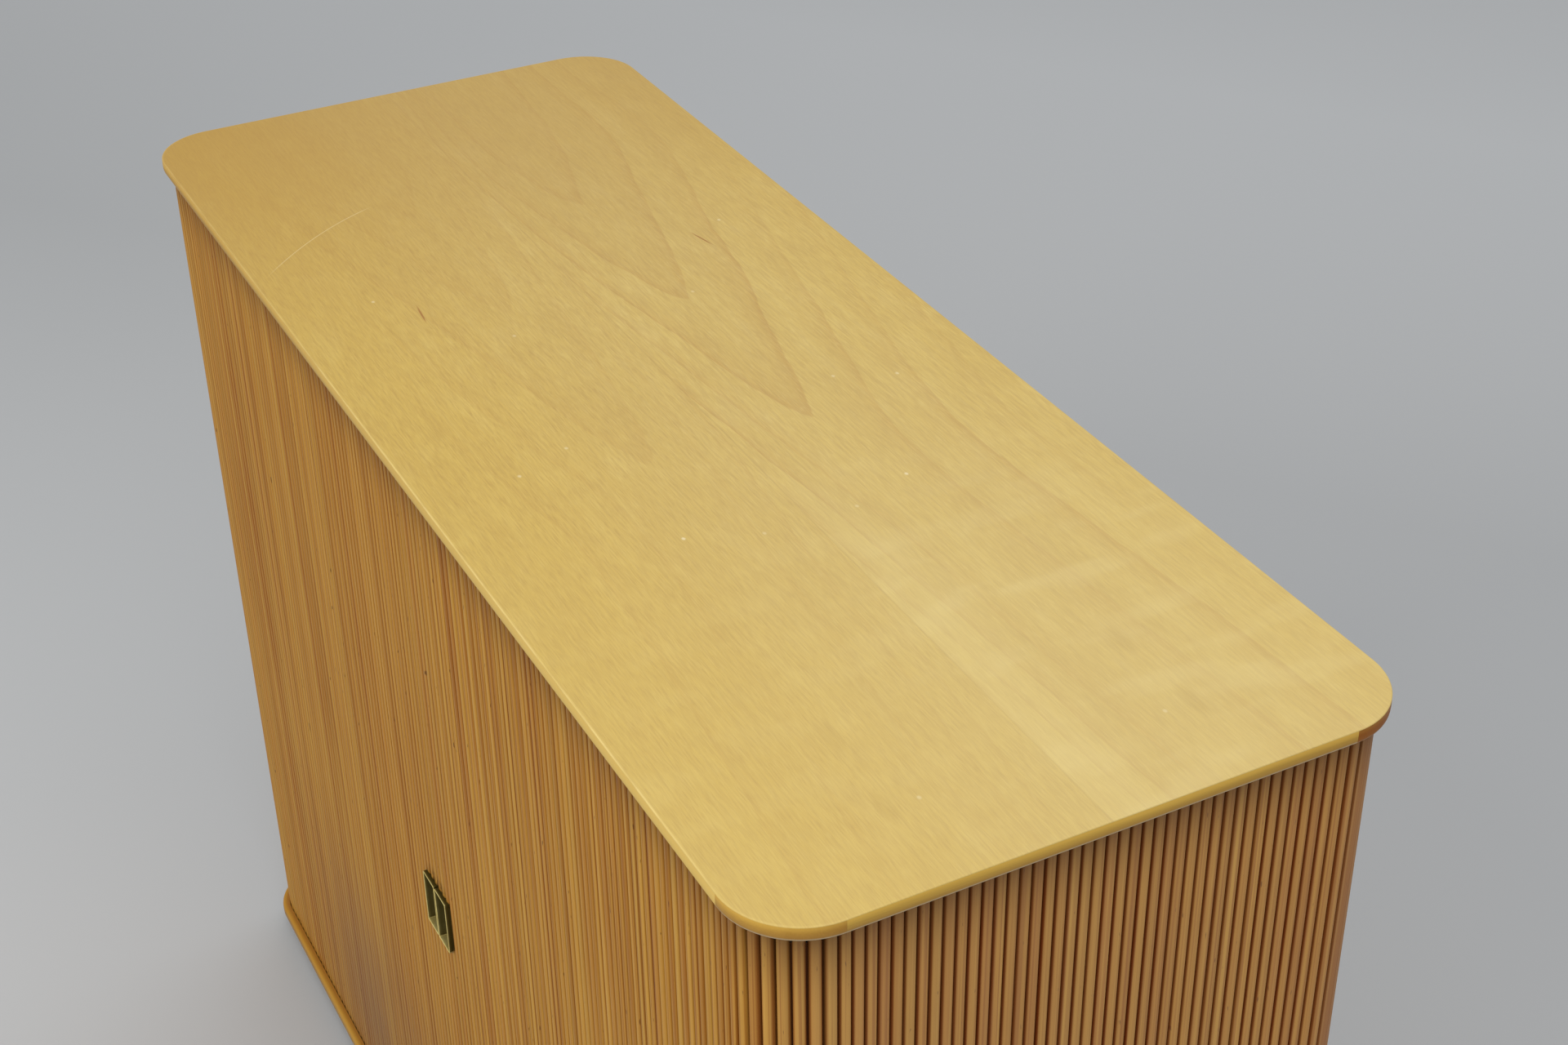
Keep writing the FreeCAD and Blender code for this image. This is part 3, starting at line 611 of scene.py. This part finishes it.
def brass_material():
    """Aged brass: polished by rubbing on the rims, nearly black with patina and painted shade in the cup, and drawn
    lighter on its ledge where light falls.
    """
    g = Graph("aged_brass")
    place = g.place()
    z = g.split(place)[2]
    # Painted light: the upward-facing ledge in the cup drawn lighter
    ledge = g.span(z, LEDGE_Z, LEDGE_Z - 0.4 * MM, 1.0, 0.62)
    depth = g.mul(g.value("depth"), ledge)
    cloud = g.noise(place, 120.0, 3.0)
    spots = g.noise(place, 900.0, 2.0)
    brushed = g.noise(g.scaled(place, (2500.0, 2500.0, 60.0)), 1.0, 2.0)
    colour = g.mix(g.span(cloud, 0.35, 0.65), BRASS_PALE, BRASS_DULL)
    colour = g.mix(g.span(spots, 0.55, 0.75, 0.0, 0.25), colour, BRASS_SPOT)
    # Patina and painted shade in the cup and on the outer sides, by the depth values
    colour = g.mix(g.mul(depth, 0.98), colour, BRASS_PATINA_AND_SHADE)
    rough = g.add(g.span(cloud, 0.3, 0.7, 0.32, 0.44), g.mul(depth, 0.12), g.mul(brushed, 0.08))
    g.set(Base_Color=colour, Roughness=rough, Normal=g.bump(g.add(brushed, spots), 0.10, 0.0002))
    g.set(Metallic=0.6, Specular_IOR_Level=0.10)
    return g.material


def canvas_material():
    """Plain-woven backing canvas, dark with glue and painted shade on the face behind the slats."""
    g = Graph("backing_canvas")
    place = g.place()
    z = g.split(place)[2]
    along = g.value("along")
    warp = g.math("SINE", g.mul(along, 2 * math.pi / THREAD))
    weft = g.math("SINE", g.mul(z, 2 * math.pi / THREAD))
    weave = g.span(g.mul(warp, weft), -1.0, 1.0, smooth=False)
    slub = g.noise(g.join(g.mul(along, 60.0), g.mul(z, 900.0)), 1.0, 2.0)
    soil = g.noise(place, 9.0, 4.0)
    colour = g.mix(weave, CANVAS_DEEP, CANVAS_PALE)
    colour = g.mix(g.span(slub, 0.4, 0.7, 0.0, 0.3), colour, CANVAS_SLUB)
    colour = g.mix(g.span(soil, 0.45, 0.75, 0.0, 0.45), colour, CANVAS_SOIL)
    # Glue and painted shade on the face behind the slats
    colour = g.mix(g.mul(g.value("glued"), 0.97), colour, CANVAS_GLUE_AND_SHADE)
    rough = g.span(weave, 0.0, 1.0, 0.95, 0.82)
    g.set(Base_Color=colour, Roughness=rough, Normal=g.bump(weave, 0.5, 0.0004), Specular_IOR_Level=0.1)
    return g.material


def floor_material():
    """Matt grey studio floor, paler in the distance."""
    g = Graph("studio_floor")
    place = g.place()
    broad = g.noise(place, 0.7, 2.0)
    fine = g.noise(place, 60.0, 2.0)
    x, y = g.split(place)[:2]
    away = g.add(g.mul(x, -0.109), g.mul(y, 0.151))
    light = g.ramp(g.span(away, -0.02, 0.52, smooth=False), (0.0, 0.88), (0.52, 0.80), (0.95, 0.97))
    colour = g.mix(broad, FLOOR_DEEP, FLOOR_PALE)
    colour = g.mix(1.0, colour, light, "MULTIPLY")
    reach = g.math("SQRT", g.add(g.mul(x, x), g.mul(y, y)))
    colour = g.mix(g.span(reach, 4.2, 8.0), colour, FLOOR_FAR)
    rough = g.span(fine, 0.3, 0.7, 0.82, 0.9)
    g.set(Base_Color=colour, Roughness=rough, Normal=g.bump(fine, 0.02, 0.001), Specular_IOR_Level=0.1)
    return g.material


# Mesh helpers

class Shell:
    """Collects the points, faces and named point values of one piece."""

    def __init__(self):
        self.points = []
        self.faces = []
        self.values = {}

    def sweep(self, rings, **values):
        """Joins rings of equal length into a closed skin. Each value is one number or one per ring point."""
        start = len(self.points)
        count = len(rings[0])
        for ring in rings:
            self.points += ring
            for name, value in values.items():
                one = value if isinstance(value, (list, tuple)) else [value] * count
                self.values.setdefault(name, []).extend(one)
        for r in range(len(rings) - 1):
            a = start + r * count
            for i in range(count):
                j = (i + 1) % count
                self.faces.append((a + i, a + j, a + count + j, a + count + i))
        self.faces.append(tuple(range(start + count - 1, start - 1, -1)))
        last = start + (len(rings) - 1) * count
        self.faces.append(tuple(range(last, last + count)))

    def block(self, low, high, ease, **values):
        """A block with its upright edges eased."""
        (x0, y0, z0), (x1, y1, z1) = low, high
        plan = [
            (x0 + ease, y0), (x1 - ease, y0), (x1, y0 + ease), (x1, y1 - ease),
            (x1 - ease, y1), (x0 + ease, y1), (x0, y1 - ease), (x0, y0 + ease),
        ]
        self.sweep([[(x, y, z) for x, y in plan] for z in (z0, z1)], **values)

    def piece(self, name, material, body, slot, replaced, angle=35):
        mesh = bpy.data.meshes.new(name)
        mesh.from_pydata(self.points, [], self.faces)
        for value_name, numbers in self.values.items():
            made = mesh.attributes.new(value_name, "FLOAT", "POINT")
            made.data.foreach_set("value", numbers)
        work = bmesh.new()
        work.from_mesh(mesh)
        bmesh.ops.recalc_face_normals(work, faces=work.faces)
        work.to_mesh(mesh)
        work.free()
        mesh.materials.append(material)
        mesh.shade_smooth()
        mesh.set_sharp_from_angle(angle=math.radians(angle))
        piece = bpy.data.objects.new(name, mesh)
        bpy.context.scene.collection.objects.link(piece)
        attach(piece, body)
        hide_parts(*replaced)
        return piece


def rounded_corners(points, times):
    """Cuts the corners of an open line, keeping its ends."""
    for _ in range(times):
        cut = [points[0]]
        for (ax, ay), (bx, by) in zip(points, points[1:]):
            cut.append((0.75 * ax + 0.25 * bx, 0.75 * ay + 0.25 * by))
            cut.append((0.25 * ax + 0.75 * bx, 0.25 * ay + 0.75 * by))
        cut.append(points[-1])
        points = cut
    return points


# Boards

CORNER_STEPS = 24
SEED_STEP = 0.7
CORNER_SEED = 3.1

# Tones at both ends of each straight lipping and each corner lipping
SIDE_TONES = {"front": (0.48, -0.14), "right": (0.50, 0.50), "back": (0.50, 0.50), "left": (0.52, 0.46)}
CORNER_TONES = {(1, -1): (0.60, 0.72), (-1, -1): (0.46, 0.52), (1, 1): (0.95, 0.99), (-1, 1): (0.58, 0.66)}

# The veneer's edge: inset and height in mm, and pale rubbing with a painted highlight
VENEER_EDGE = (
    (0.10, -VENEER / MM, 0.6), (0.13, -0.34, 0.8), (0.24, -0.14, 1.0),
    (0.42, -0.03, 1.0), (0.70, 0.0, 1.0), (1.7, 0.0, 0.0),
)


def nose_line(inner_z, outer_z, eased):
    """Edge of a board from the face on the tambour's side to the other one, as (inwards, height)."""
    height = abs(outer_z - inner_z) / MM
    up = MM if outer_z > inner_z else -MM
    line = [(3.1, 0.0), (2.2, 0.0), (0.7, 0.7), (0.1, 2.3), (0.0, 0.45 * height), (0.02, 0.75 * height)]
    line += [(0.25, height - 0.8), (1.0, height)] if eased else [(0.1, height)]
    return [(u * MM, inner_z + up * h) for u, h in rounded_corners(line, 3)]


def lipping_plan(inner_z, outer_z, eased, notches):
    """Closed section of a lipping, as (inwards, height), with notches cut from the tambour's side."""
    up = 1 if outer_z > inner_z else -1
    plan = nose_line(inner_z, outer_z, eased) + [(LIPPING, outer_z), (LIPPING, inner_z)]
    for near, far, depth in notches:
        floor_z = inner_z + up * depth
        plan += [(far, inner_z), (far, floor_z), (near, floor_z), (near, inner_z)]
    return plan


def straight_lipping(side, plan):
    """Rings of a straight lipping along one side of a board."""
    rings = []
    for end in (-1, 1):
        if side in ("front", "back"):
            sign = -1 if side == "front" else 1
            x = end * (CORNER_X - JOINT_GAP)
            rings.append([(x, sign * (HALF_DEPTH - u), z) for u, z in plan])
        else:
            sign = -1 if side == "left" else 1
            y = end * (CORNER_Y - JOINT_GAP)
            rings.append([(sign * (HALF_WIDTH - u), y, z) for u, z in plan])
    return rings


def corner_lipping(sx, sy, plan):
    """Rings of a quarter-round lipping at one corner of a board."""
    rings = []
    for step in range(CORNER_STEPS + 1):
        turn = math.pi / 2 * step / CORNER_STEPS
        rings.append([
            (
                sx * (CORNER_X + (CORNER_RADIUS - u) * math.sin(turn)),
                sy * (CORNER_Y + (CORNER_RADIUS - u) * math.cos(turn)),
                z,
            )
            for u, z in plan
        ])
    return rings


def board_lippings(board, inner_z, outer_z, eased, materials):
    """Straight and corner lippings of one board, each with its own tone."""
    grooved = lipping_plan(inner_z, outer_z, eased, [GROOVE])
    slotted = lipping_plan(inner_z, outer_z, eased, [GROOVE, BACK_SLOT])
    for number, (side, tones) in enumerate(SIDE_TONES.items()):
        plan = slotted if side == "back" else grooved
        shell = Shell()
        shell.sweep(straight_lipping(side, plan), seed=SEED_STEP * number, inset=[u for u, _ in plan])
        shell.values["tone"] = [tone for tone in tones for _ in plan]
        material = materials["X" if side in ("front", "back") else "Y"]
        node = board + "_" + side + "_lipping"
        shell.piece(node + "_rounded", material, "carcass", "lipping", [node])
    shell = Shell()
    tones = []
    for number, ((sx, sy), (first, last)) in enumerate(CORNER_TONES.items()):
        rings = corner_lipping(sx, sy, grooved)
        shell.sweep(rings, seed=CORNER_SEED + SEED_STEP * number, inset=[u for u, _ in grooved])
        for step in range(len(rings)):
            tones += [first + (last - first) * step / (len(rings) - 1)] * len(grooved)
    shell.values["tone"] = tones
    node = board + "_corner_lippings"
    shell.piece(node + "_rounded", materials["X"], "carcass", "lipping", [node])


def plate_outline(inset):
    """Plan of the top at an inset from its edge."""
    outline = []
    radius = CORNER_RADIUS - inset
    for quarter, (sx, sy) in enumerate(((1, 1), (-1, 1), (-1, -1), (1, -1))):
        for step in range(CORNER_STEPS + 1):
            turn = math.pi / 2 * (quarter + step / CORNER_STEPS)
            outline.append((sx * CORNER_X + radius * math.cos(turn), sy * CORNER_Y + radius * math.sin(turn)))
    return outline


def veneer_piece(material):
    """Thin sheet flush with the edge, its upper arris rounded by use and marked for pale rubbing and a painted
    highlight.
    """
    shell = Shell()
    rings = []
    arris_marks = []
    for inset, height, marked in VENEER_EDGE:
        rings.append([(x, y, TOP_Z + height * MM) for x, y in plate_outline(inset * MM)])
        arris_marks += [marked] * len(rings[-1])
    shell.sweep(rings)
    shell.values["marked"] = arris_marks
    shell.piece("top_veneer_leaves", material, "carcass", "top_veneer", ["top_veneer"])


# Tambour

# Runs of slats: node, first slat, slat after the last, and what they ride on
SLAT_RUNS = (
    ("lead_slats", 0, 5, "door"),
    ("front_slats", 5, 62, "carcass"),
    ("front_corner_slats", 62, 70, "carcass"),
    ("end_slats", 70, 112, "carcass"),
    ("back_corner_slats", 112, 119, "carcass"),
)
FIRST_STAVE = 113

# Largest angles in degrees that are shaded smooth
SLAT_ANGLE = 50
PULL_ANGLE = 40

# How the slats of a leaf differ
DRIFT_STEP = 0.20
DRIFT_RETURN = 0.14
DRIFT_MIDDLE = 0.45
TONE_SCATTER = 0.70
LEAST_SIZE = 0.985
WIDTH_SPREAD = 0.03
THICK_SPREAD = 0.015
SEED_RANGE = 40
DRAW_SEEDS = {"right": 11, "left": 23}

# Staves of the back corners; their depth values set how much dirt and painted shade the slat material draws on them
STAVE_STEPS = 6
STAVE_JOINT = 0.06 * MM
STAVE_FACE_DEPTH = 0.86
STAVE_BACK_DEPTH = 0.7
STAVE_TONE = 0.8
STAVE_SCATTER = 0.2

STILE_TONE = 0.35
STILE_SCATTER = 0.3
STILE_INSET = 0.25 * MM
STILE_EASE = 0.3 * MM
CHEEK_FRONT = REED_FRONT + 1.6 * MM
ROUND_STEPS = 4
CANVAS_DIP = 0.06 * MM

# Section of a pull from the back of its rim over the front into the cup: inset in mm, y, corner radius in mm, patina
# and painted shade
PULL_STEPS = (
    (0.95, CUP_BACK, 0.6, 1.0),
    (0.95, REED_FRONT, 0.6, 0.9),
    (0.00, REED_FRONT, 1.0, 1.0),
    (0.00, RIM_FRONT + 1.3 * MM, 1.0, 0.98),
    (0.05, RIM_FRONT + 0.5 * MM, 1.0, 0.8),
    (0.18, RIM_FRONT + 0.14 * MM, 1.0, 0.0),
    (0.40, RIM_FRONT, 0.9, 0.0),
    (0.62, RIM_FRONT + 0.06 * MM, 0.8, 0.0),
    (0.80, RIM_FRONT + 0.25 * MM, 0.6, 0.1),
    (0.90, RIM_FRONT + 0.6 * MM, 0.5, 0.85),
    (1.06, RIM_FRONT + 2.6 * MM, 0.5, 0.93),
    (1.45, CUP_FLOOR - 0.9 * MM, 0.5, 0.9),
    (1.80, CUP_FLOOR - 0.25 * MM, 0.5, 0.8),
    (2.40, CUP_FLOOR, 0.5, 1.0),
)


def track_place(s):
    """Place and turn at a distance along the backs of the right-hand slats."""
    if s <= CORNER_START:
        return s, FRONT_LINE, 0.0
    if s <= END_START:
        turn = (s - CORNER_START) / BACK_RADIUS
        return CORNER_X + BACK_RADIUS * math.sin(turn), -CORNER_Y - BACK_RADIUS * math.cos(turn), turn
    if s <= BACK_START:
        return END_LINE, -CORNER_Y + s - END_START, math.pi / 2
    if s <= REAR_START:
        turn = math.pi / 2 + (s - BACK_START) / BACK_RADIUS
        return CORNER_X + BACK_RADIUS * math.sin(turn), CORNER_Y - BACK_RADIUS * math.cos(turn), turn
    return CORNER_X - (s - REAR_START), BACK_LINE, math.pi


def on_track(s, across, outwards, z, sign):
    """A point beside the track, mirrored for the left leaf."""
    x, y, turn = track_place(s)
    x += across * math.cos(turn) + outwards * math.sin(turn)
    y += across * math.sin(turn) - outwards * math.cos(turn)
    return sign * x, y, z


def slat_section():
    """Section of a slat as (across, outwards), crowned with soft shoulders."""
    half = SLAT_WIDTH / 2
    front = [
        (half, 1.6 * MM), (half, 3.2 * MM), (3.1 * MM, 4.4 * MM), (2.2 * MM, 5.10 * MM), (1.1 * MM, 5.42 * MM),
        (0.0, 5.5 * MM), (-1.1 * MM, 5.42 * MM), (-2.2 * MM, 5.10 * MM), (-3.1 * MM, 4.4 * MM),
        (-half, 3.2 * MM), (-half, 1.6 * MM),
    ]
    return [(half, 0.0)] + rounded_corners(front, 2) + [(-half, 0.0)]


def slat_tones(count, draw):
    """Tones that drift from slat to slat, since neighbours come from one board, with a scatter of their own."""
    tones = []
    drift = 0.5
    for _ in range(count):
        drift += DRIFT_STEP * (draw.random() - 0.5) - DRIFT_RETURN * (drift - DRIFT_MIDDLE)
        tones.append(min(1.0, max(0.0, drift + TONE_SCATTER * (draw.random() - 0.5))))
    return tones


def add_slat(shell, s, sign, tone, draw, low=SLAT_BOTTOM, high=SLAT_TOP):
    width = LEAST_SIZE + WIDTH_SPREAD * draw.random()
    proud = LEAST_SIZE + THICK_SPREAD * draw.random()
    section = [(u * width, w * proud) for u, w in slat_section()]
    rings = [[on_track(s, u, w, z, sign) for u, w in section] for z in (low, high)]
    shell.sweep(
        rings,
        tone=tone,
        seed=draw.random() * SEED_RANGE,
        across=[u / (SLAT_WIDTH / 2) for u, _ in section],
        depth=[w / SLAT_THICK for _, w in section],
        along=[sign * (s + u) for u, _ in section],
    )


def add_stave(shell, s, sign, tone, draw):
    """A back-corner slat with a wedge-shaped section, fitted to its neighbours so that the round face is smooth."""
    turn = (s - BACK_START) / BACK_RADIUS
    half = PITCH / BACK_RADIUS / 2
    face = BACK_RADIUS + SLAT_THICK
    joint = STAVE_JOINT / face
    steps = [2 * step / STAVE_STEPS - 1 for step in range(STAVE_STEPS + 1)]
    section = [(face, turn + share * (half - joint), share) for share in steps]
    section += [(BACK_RADIUS, turn + share * (half - joint), share) for share in reversed(steps)]
    rings = [
        [(sign * (CORNER_X + r * math.cos(a)), CORNER_Y + r * math.sin(a), z) for r, a, _ in section]
        for z in (SLAT_BOTTOM, SLAT_TOP)
    ]
    shell.sweep(
        rings,
        tone=tone,
        seed=draw.random() * SEED_RANGE,
        across=[share for _, _, share in section],
        depth=[STAVE_FACE_DEPTH if r == face else STAVE_BACK_DEPTH for r, _, _ in section],
        along=[sign * (s + share * PITCH / 2) for _, _, share in section],
    )


def body_of(kind, side):
    return side + "_door" if kind == "door" else kind


def open_up(piece):
    """Gives a run of the front its own copy of its mesh."""
    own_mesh(piece)


def slat_pieces(side, sign, material, draw):
    tones = slat_tones(SLAT_RUNS[-1][2], draw)
    for run, first, last, kind in SLAT_RUNS:
        shell = Shell()
        for number in range(first, last):
            s = FIRST_SLAT + number * PITCH
            if number >= FIRST_STAVE:
                add_stave(shell, s, sign, STAVE_TONE + STAVE_SCATTER * tones[number], draw)
            else:
                add_slat(shell, s, sign, tones[number], draw)
        node = side + "_" + run
        piece = shell.piece(node + "_reeded", material, body_of(kind, side), "slat_wood", [node], SLAT_ANGLE)
        if run == "front_slats":
            open_up(piece)


def stile_piece(side, sign, material, draw):
    """Three reeds on a thicker stile, cut away round the pull."""
    shell = Shell()
    low_cut = PULL_Z - MORTISE_HALF_H
    high_cut = PULL_Z + MORTISE_HALF_H
    for number in range(3):
        tone = STILE_TONE + STILE_SCATTER * draw.random()
        for low, high in ((SLAT_BOTTOM, low_cut), (high_cut, SLAT_TOP)):
            add_slat(shell, (number + 0.5) * PITCH, sign, tone, draw, low, high)
    x0 = STILE_INSET
    x1 = STILE_WIDTH - x0
    wall0 = PULL_X - MORTISE_HALF_W
    wall1 = PULL_X + MORTISE_HALF_W
    low = FLOOR_Z + STILE_GAP
    high = CEILING_Z - STILE_GAP
    blocks = [
        ((x0, FRONT_LINE, low), (x1, STILE_BACK, low_cut)),
        ((x0, FRONT_LINE, high_cut), (x1, STILE_BACK, high)),
        ((x0, CHEEK_FRONT, low_cut), (wall0, STILE_BACK, high_cut)),
        ((wall1, CHEEK_FRONT, low_cut), (x1, STILE_BACK, high_cut)),
        ((wall0, CUP_BACK, low_cut), (wall1, STILE_BACK, high_cut)),
    ]
    for (ax, ay, az), (bx, by, bz) in blocks:
        ends = sorted((sign * ax, sign * bx))
        shell.block(
            (ends[0], ay, az), (ends[1], by, bz), STILE_EASE,
            tone=0.45, seed=5.0, across=0.0, depth=1.0, along=sign * PULL_X,
        )
    node = side + "_lead_stile"
    shell.piece(node + "_reeded", material, side + "_door", "slat_wood", [node], SLAT_ANGLE)


def rectangle_ring(half_w, half_h, radius, y, sign):
    """Rounded rectangle facing the front, round the middle of a pull."""
    ring = []
    for quarter, (sx, sz) in enumerate(((1, 1), (-1, 1), (-1, -1), (1, -1))):
        for step in range(ROUND_STEPS + 1):
            turn = math.pi / 2 * (quarter + step / ROUND_STEPS)
            x = sx * (half_w - radius) + radius * math.cos(turn)
            z = sz * (half_h - radius) + radius * math.sin(turn)
            ring.append((sign * (PULL_X + x), y, PULL_Z + z))
    return ring


def pull_piece(side, sign, material):
    """Brass cup with a rounded rim and a slightly tapered well."""
    shell = Shell()
    rings = []
    depths = []
    for inset, y, radius, depth in PULL_STEPS:
        rings.append(rectangle_ring(PULL_HALF_W - inset * MM, PULL_HALF_H - inset * MM, radius * MM, y, sign))
        depths += [depth] * len(rings[-1])
    shell.sweep(rings)
    shell.values["depth"] = depths
    node = side + "_pull"
    shell.piece(node + "_cup", material, side + "_door", "brass", [node], PULL_ANGLE)


def canvas_piece(side, sign, run, start, end, body, material):
    """Backing cloth glued to the slats, with a slight dip between them."""
    count = int(round((end - start) / (PITCH / 4)))
    back = CANVAS - CANVAS_DIP
    shell = Shell()
    rings = []
    along = []
    glued = []
    for step in range(count + 1):
        s = start + (end - start) * step / count
        dip = CANVAS_DIP * (1 - math.cos(2 * math.pi * (s - start) / PITCH)) / 2
        ring = [
            on_track(s, 0.0, -out - dip, z, sign)
            for out, z in ((0.0, CANVAS_LOW), (back, CANVAS_LOW), (back, CANVAS_HIGH), (0.0, CANVAS_HIGH))
        ]
        rings.append(ring)
        along += [sign * s] * 4
        glued += [1.0, 0.0, 0.0, 1.0]
    shell.sweep(rings)
    shell.values["along"] = along
    shell.values["glued"] = glued
    node = side + "_" + run
    piece = shell.piece(node + "_cloth", material, body, "canvas", [node], SLAT_ANGLE)
    return piece


def tambour(slat_wood, brass, canvas):
    for side, sign in SIDES:
        draw = random.Random(DRAW_SEEDS[side])
        slat_pieces(side, sign, slat_wood, draw)
        stile_piece(side, sign, slat_wood, draw)
        pull_piece(side, sign, brass)
        canvas_piece(side, sign, "lead_canvas", STILE_WIDTH, LEAD_END, side + "_door", canvas)
        cloth = canvas_piece(side, sign, "front_canvas", LEAD_END, FRONT_END, "carcass", canvas)
        open_up(cloth)
        canvas_piece(side, sign, "end_canvas", FRONT_END, LAST_END, "carcass", canvas)


# Solids that stay

BIRCH = ((0.60, 0.39, 0.145), (0.50, 0.30, 0.092))
BIRCH_ACROSS = ((0.59, 0.38, 0.140), (0.49, 0.29, 0.088))
CORE_WOOD = ((0.52, 0.35, 0.140), (0.43, 0.26, 0.090))
PLINTH_WOOD = ((0.30, 0.165, 0.060), (0.21, 0.105, 0.034))


def dress(names, material, ease=0.0):
    """Gives solids their material, and eases their edges with a modifier."""
    for name in names:
        piece = nodes[name]
        piece.data.materials.clear()
        piece.data.materials.append(material)
        if ease:
            bevel = piece.modifiers.new("eased_edges", "BEVEL")
            bevel.width = ease
            bevel.segments = 2
            bevel.limit_method = "ANGLE"
            bevel.angle_limit = math.radians(40)
            bevel.use_clamp_overlap = True


def both(*names):
    return [side + "_" + name for side in ("left", "right") for name in names]


def dress_solids():
    birch_up = wood_material("carcass_wood_upright", "Z", *BIRCH, 0.4, 0.5)
    birch_along = wood_material("carcass_wood_along", "X", *BIRCH, 0.4, 0.5)
    birch_deep = wood_material("carcass_wood_across", "Y", *BIRCH_ACROSS, 0.4, 0.5)
    core = wood_material("board_core_wood", "X", *CORE_WOOD, 0.5, 0.55)
    plinth = wood_material("plinth_wood", "X", *PLINTH_WOOD, 0.6, 0.5)
    plinth_side = wood_material("plinth_wood_side", "Y", *PLINTH_WOOD, 0.6, 0.5)
    dress(["top_core", "bottom_core"], core)
    dress(both("front_post", "back_post"), birch_up)
    dress(both("end_panel") + ["centre_partition"], birch_up, 0.5 * MM)
    dress(["inner_back_panel", "outer_back_panel"], birch_up, 0.4 * MM)
    dress(both("lower_shelf", "upper_shelf"), birch_along, 0.8 * MM)
    dress(["shelf_cleats", "track_stops"], birch_deep, 0.6 * MM)
    dress(["loose_tenons"], birch_up)
    dress(both("tail_batten"), birch_up, 0.6 * MM)
    dress(["plinth_front_rail", "plinth_back_rail"], plinth, 1.0 * MM)
    dress(["plinth_left_rail", "plinth_right_rail", "plinth_centre_rail"], plinth_side, 1.0 * MM)
    dress(["plinth_corner_blocks"], plinth, 0.8 * MM)


# Stage

FLOOR_HALF = 14.0
FLOOR_CELLS = 24
WORLD_GREY = (0.42, 0.43, 0.44, 1.0)
WORLD_LEVEL = 1.2


def floor():
    """A wide flat sheet under the object."""
    shell = Shell()
    steps = [FLOOR_HALF * (2 * step / FLOOR_CELLS - 1) for step in range(FLOOR_CELLS + 1)]
    for y in steps:
        shell.points += [(x, y, 0.0) for x in steps]
    width = len(steps)
    for row in range(FLOOR_CELLS):
        for column in range(FLOOR_CELLS):
            a = row * width + column
            shell.faces.append((a, a + 1, a + 1 + width, a + width))
    mesh = bpy.data.meshes.new("studio_floor")
    mesh.from_pydata(shell.points, [], shell.faces)
    mesh.materials.append(floor_material())
    made = bpy.data.objects.new("studio_floor", mesh)
    bpy.context.scene.collection.objects.link(made)


def area_light(name, place, target, size, power, colour):
    data = bpy.data.lights.new(name, "AREA")
    data.shape = "RECTANGLE"
    data.size, data.size_y = size
    data.energy = power
    data.color = colour
    lamp = bpy.data.objects.new(name, data)
    lamp.location = place
    lamp.rotation_euler = (Vector(target) - Vector(place)).to_track_quat("-Z", "Y").to_euler()
    bpy.context.scene.collection.objects.link(lamp)


def lights():
    """Four large soft lights, with size in metres and power in watts, and a grey world."""
    middle = (0.0, 0.0, 0.5)
    table = (0.3, 0.0, TOP_Z)
    area_light("front", (0.2, -3.4, 3.0), middle, (2.6, 2.6), 64, (1.0, 0.975, 0.91))
    area_light("side", (3.6, -0.9, 2.3), middle, (2.4, 2.4), 24, (0.95, 0.98, 1.06))
    area_light("overhead", (-1.3, 1.2, 3.5), table, (2.2, 2.2), 18, (1.0, 0.995, 0.99))
    area_light("near", (1.2, -0.4, 3.6), table, (2.2, 2.2), 22, (1.0, 0.995, 0.98))
    world = bpy.data.worlds.new("studio")
    world.use_nodes = True
    back = world.node_tree.nodes["Background"]
    back.inputs[0].default_value = WORLD_GREY
    back.inputs[1].default_value = WORLD_LEVEL
    bpy.context.scene.world = world


# Camera at the photograph's angle

CAMERA_PLACE = (1.40415, -0.62709, 1.72116)
CAMERA_RIGHT = (0.46509, 0.88518, -0.01226)
CAMERA_UP = (-0.47412, 0.26076, 0.84096)
CAMERA_AHEAD = (-0.74760, 0.38531, -0.54096)
LENS = 56.03
SENSOR = 36.0


def camera():
    data = bpy.data.cameras.new("camera")
    data.sensor_fit = "HORIZONTAL"
    data.sensor_width = SENSOR
    data.lens = LENS
    data.clip_start = 0.05
    data.clip_end = 60
    made = bpy.data.objects.new("camera", data)
    turn = Matrix((CAMERA_RIGHT, CAMERA_UP, [-n for n in CAMERA_AHEAD])).transposed()
    made.matrix_world = Matrix.Translation(CAMERA_PLACE) @ turn.to_4x4()
    bpy.context.scene.collection.objects.link(made)
    bpy.context.scene.camera = made


camera()
lights()
floor()
lippings = lipping_materials("lipping_wood_", TOP_LIPPING_WOOD, CEILING_Z, TOP_Z - VENEER)
low_lippings = lipping_materials("low_lipping_wood_", LOW_LIPPING_WOOD, BOTTOM_Z, FLOOR_Z)
board_lippings("top", CEILING_Z, TOP_Z - VENEER, False, lippings)
board_lippings("bottom", FLOOR_Z, BOTTOM_Z, True, low_lippings)
veneer_piece(veneer_material())
tambour(slat_material(), brass_material(), canvas_material())
dress_solids()

bpy.context.scene.view_settings.view_transform = "Standard"
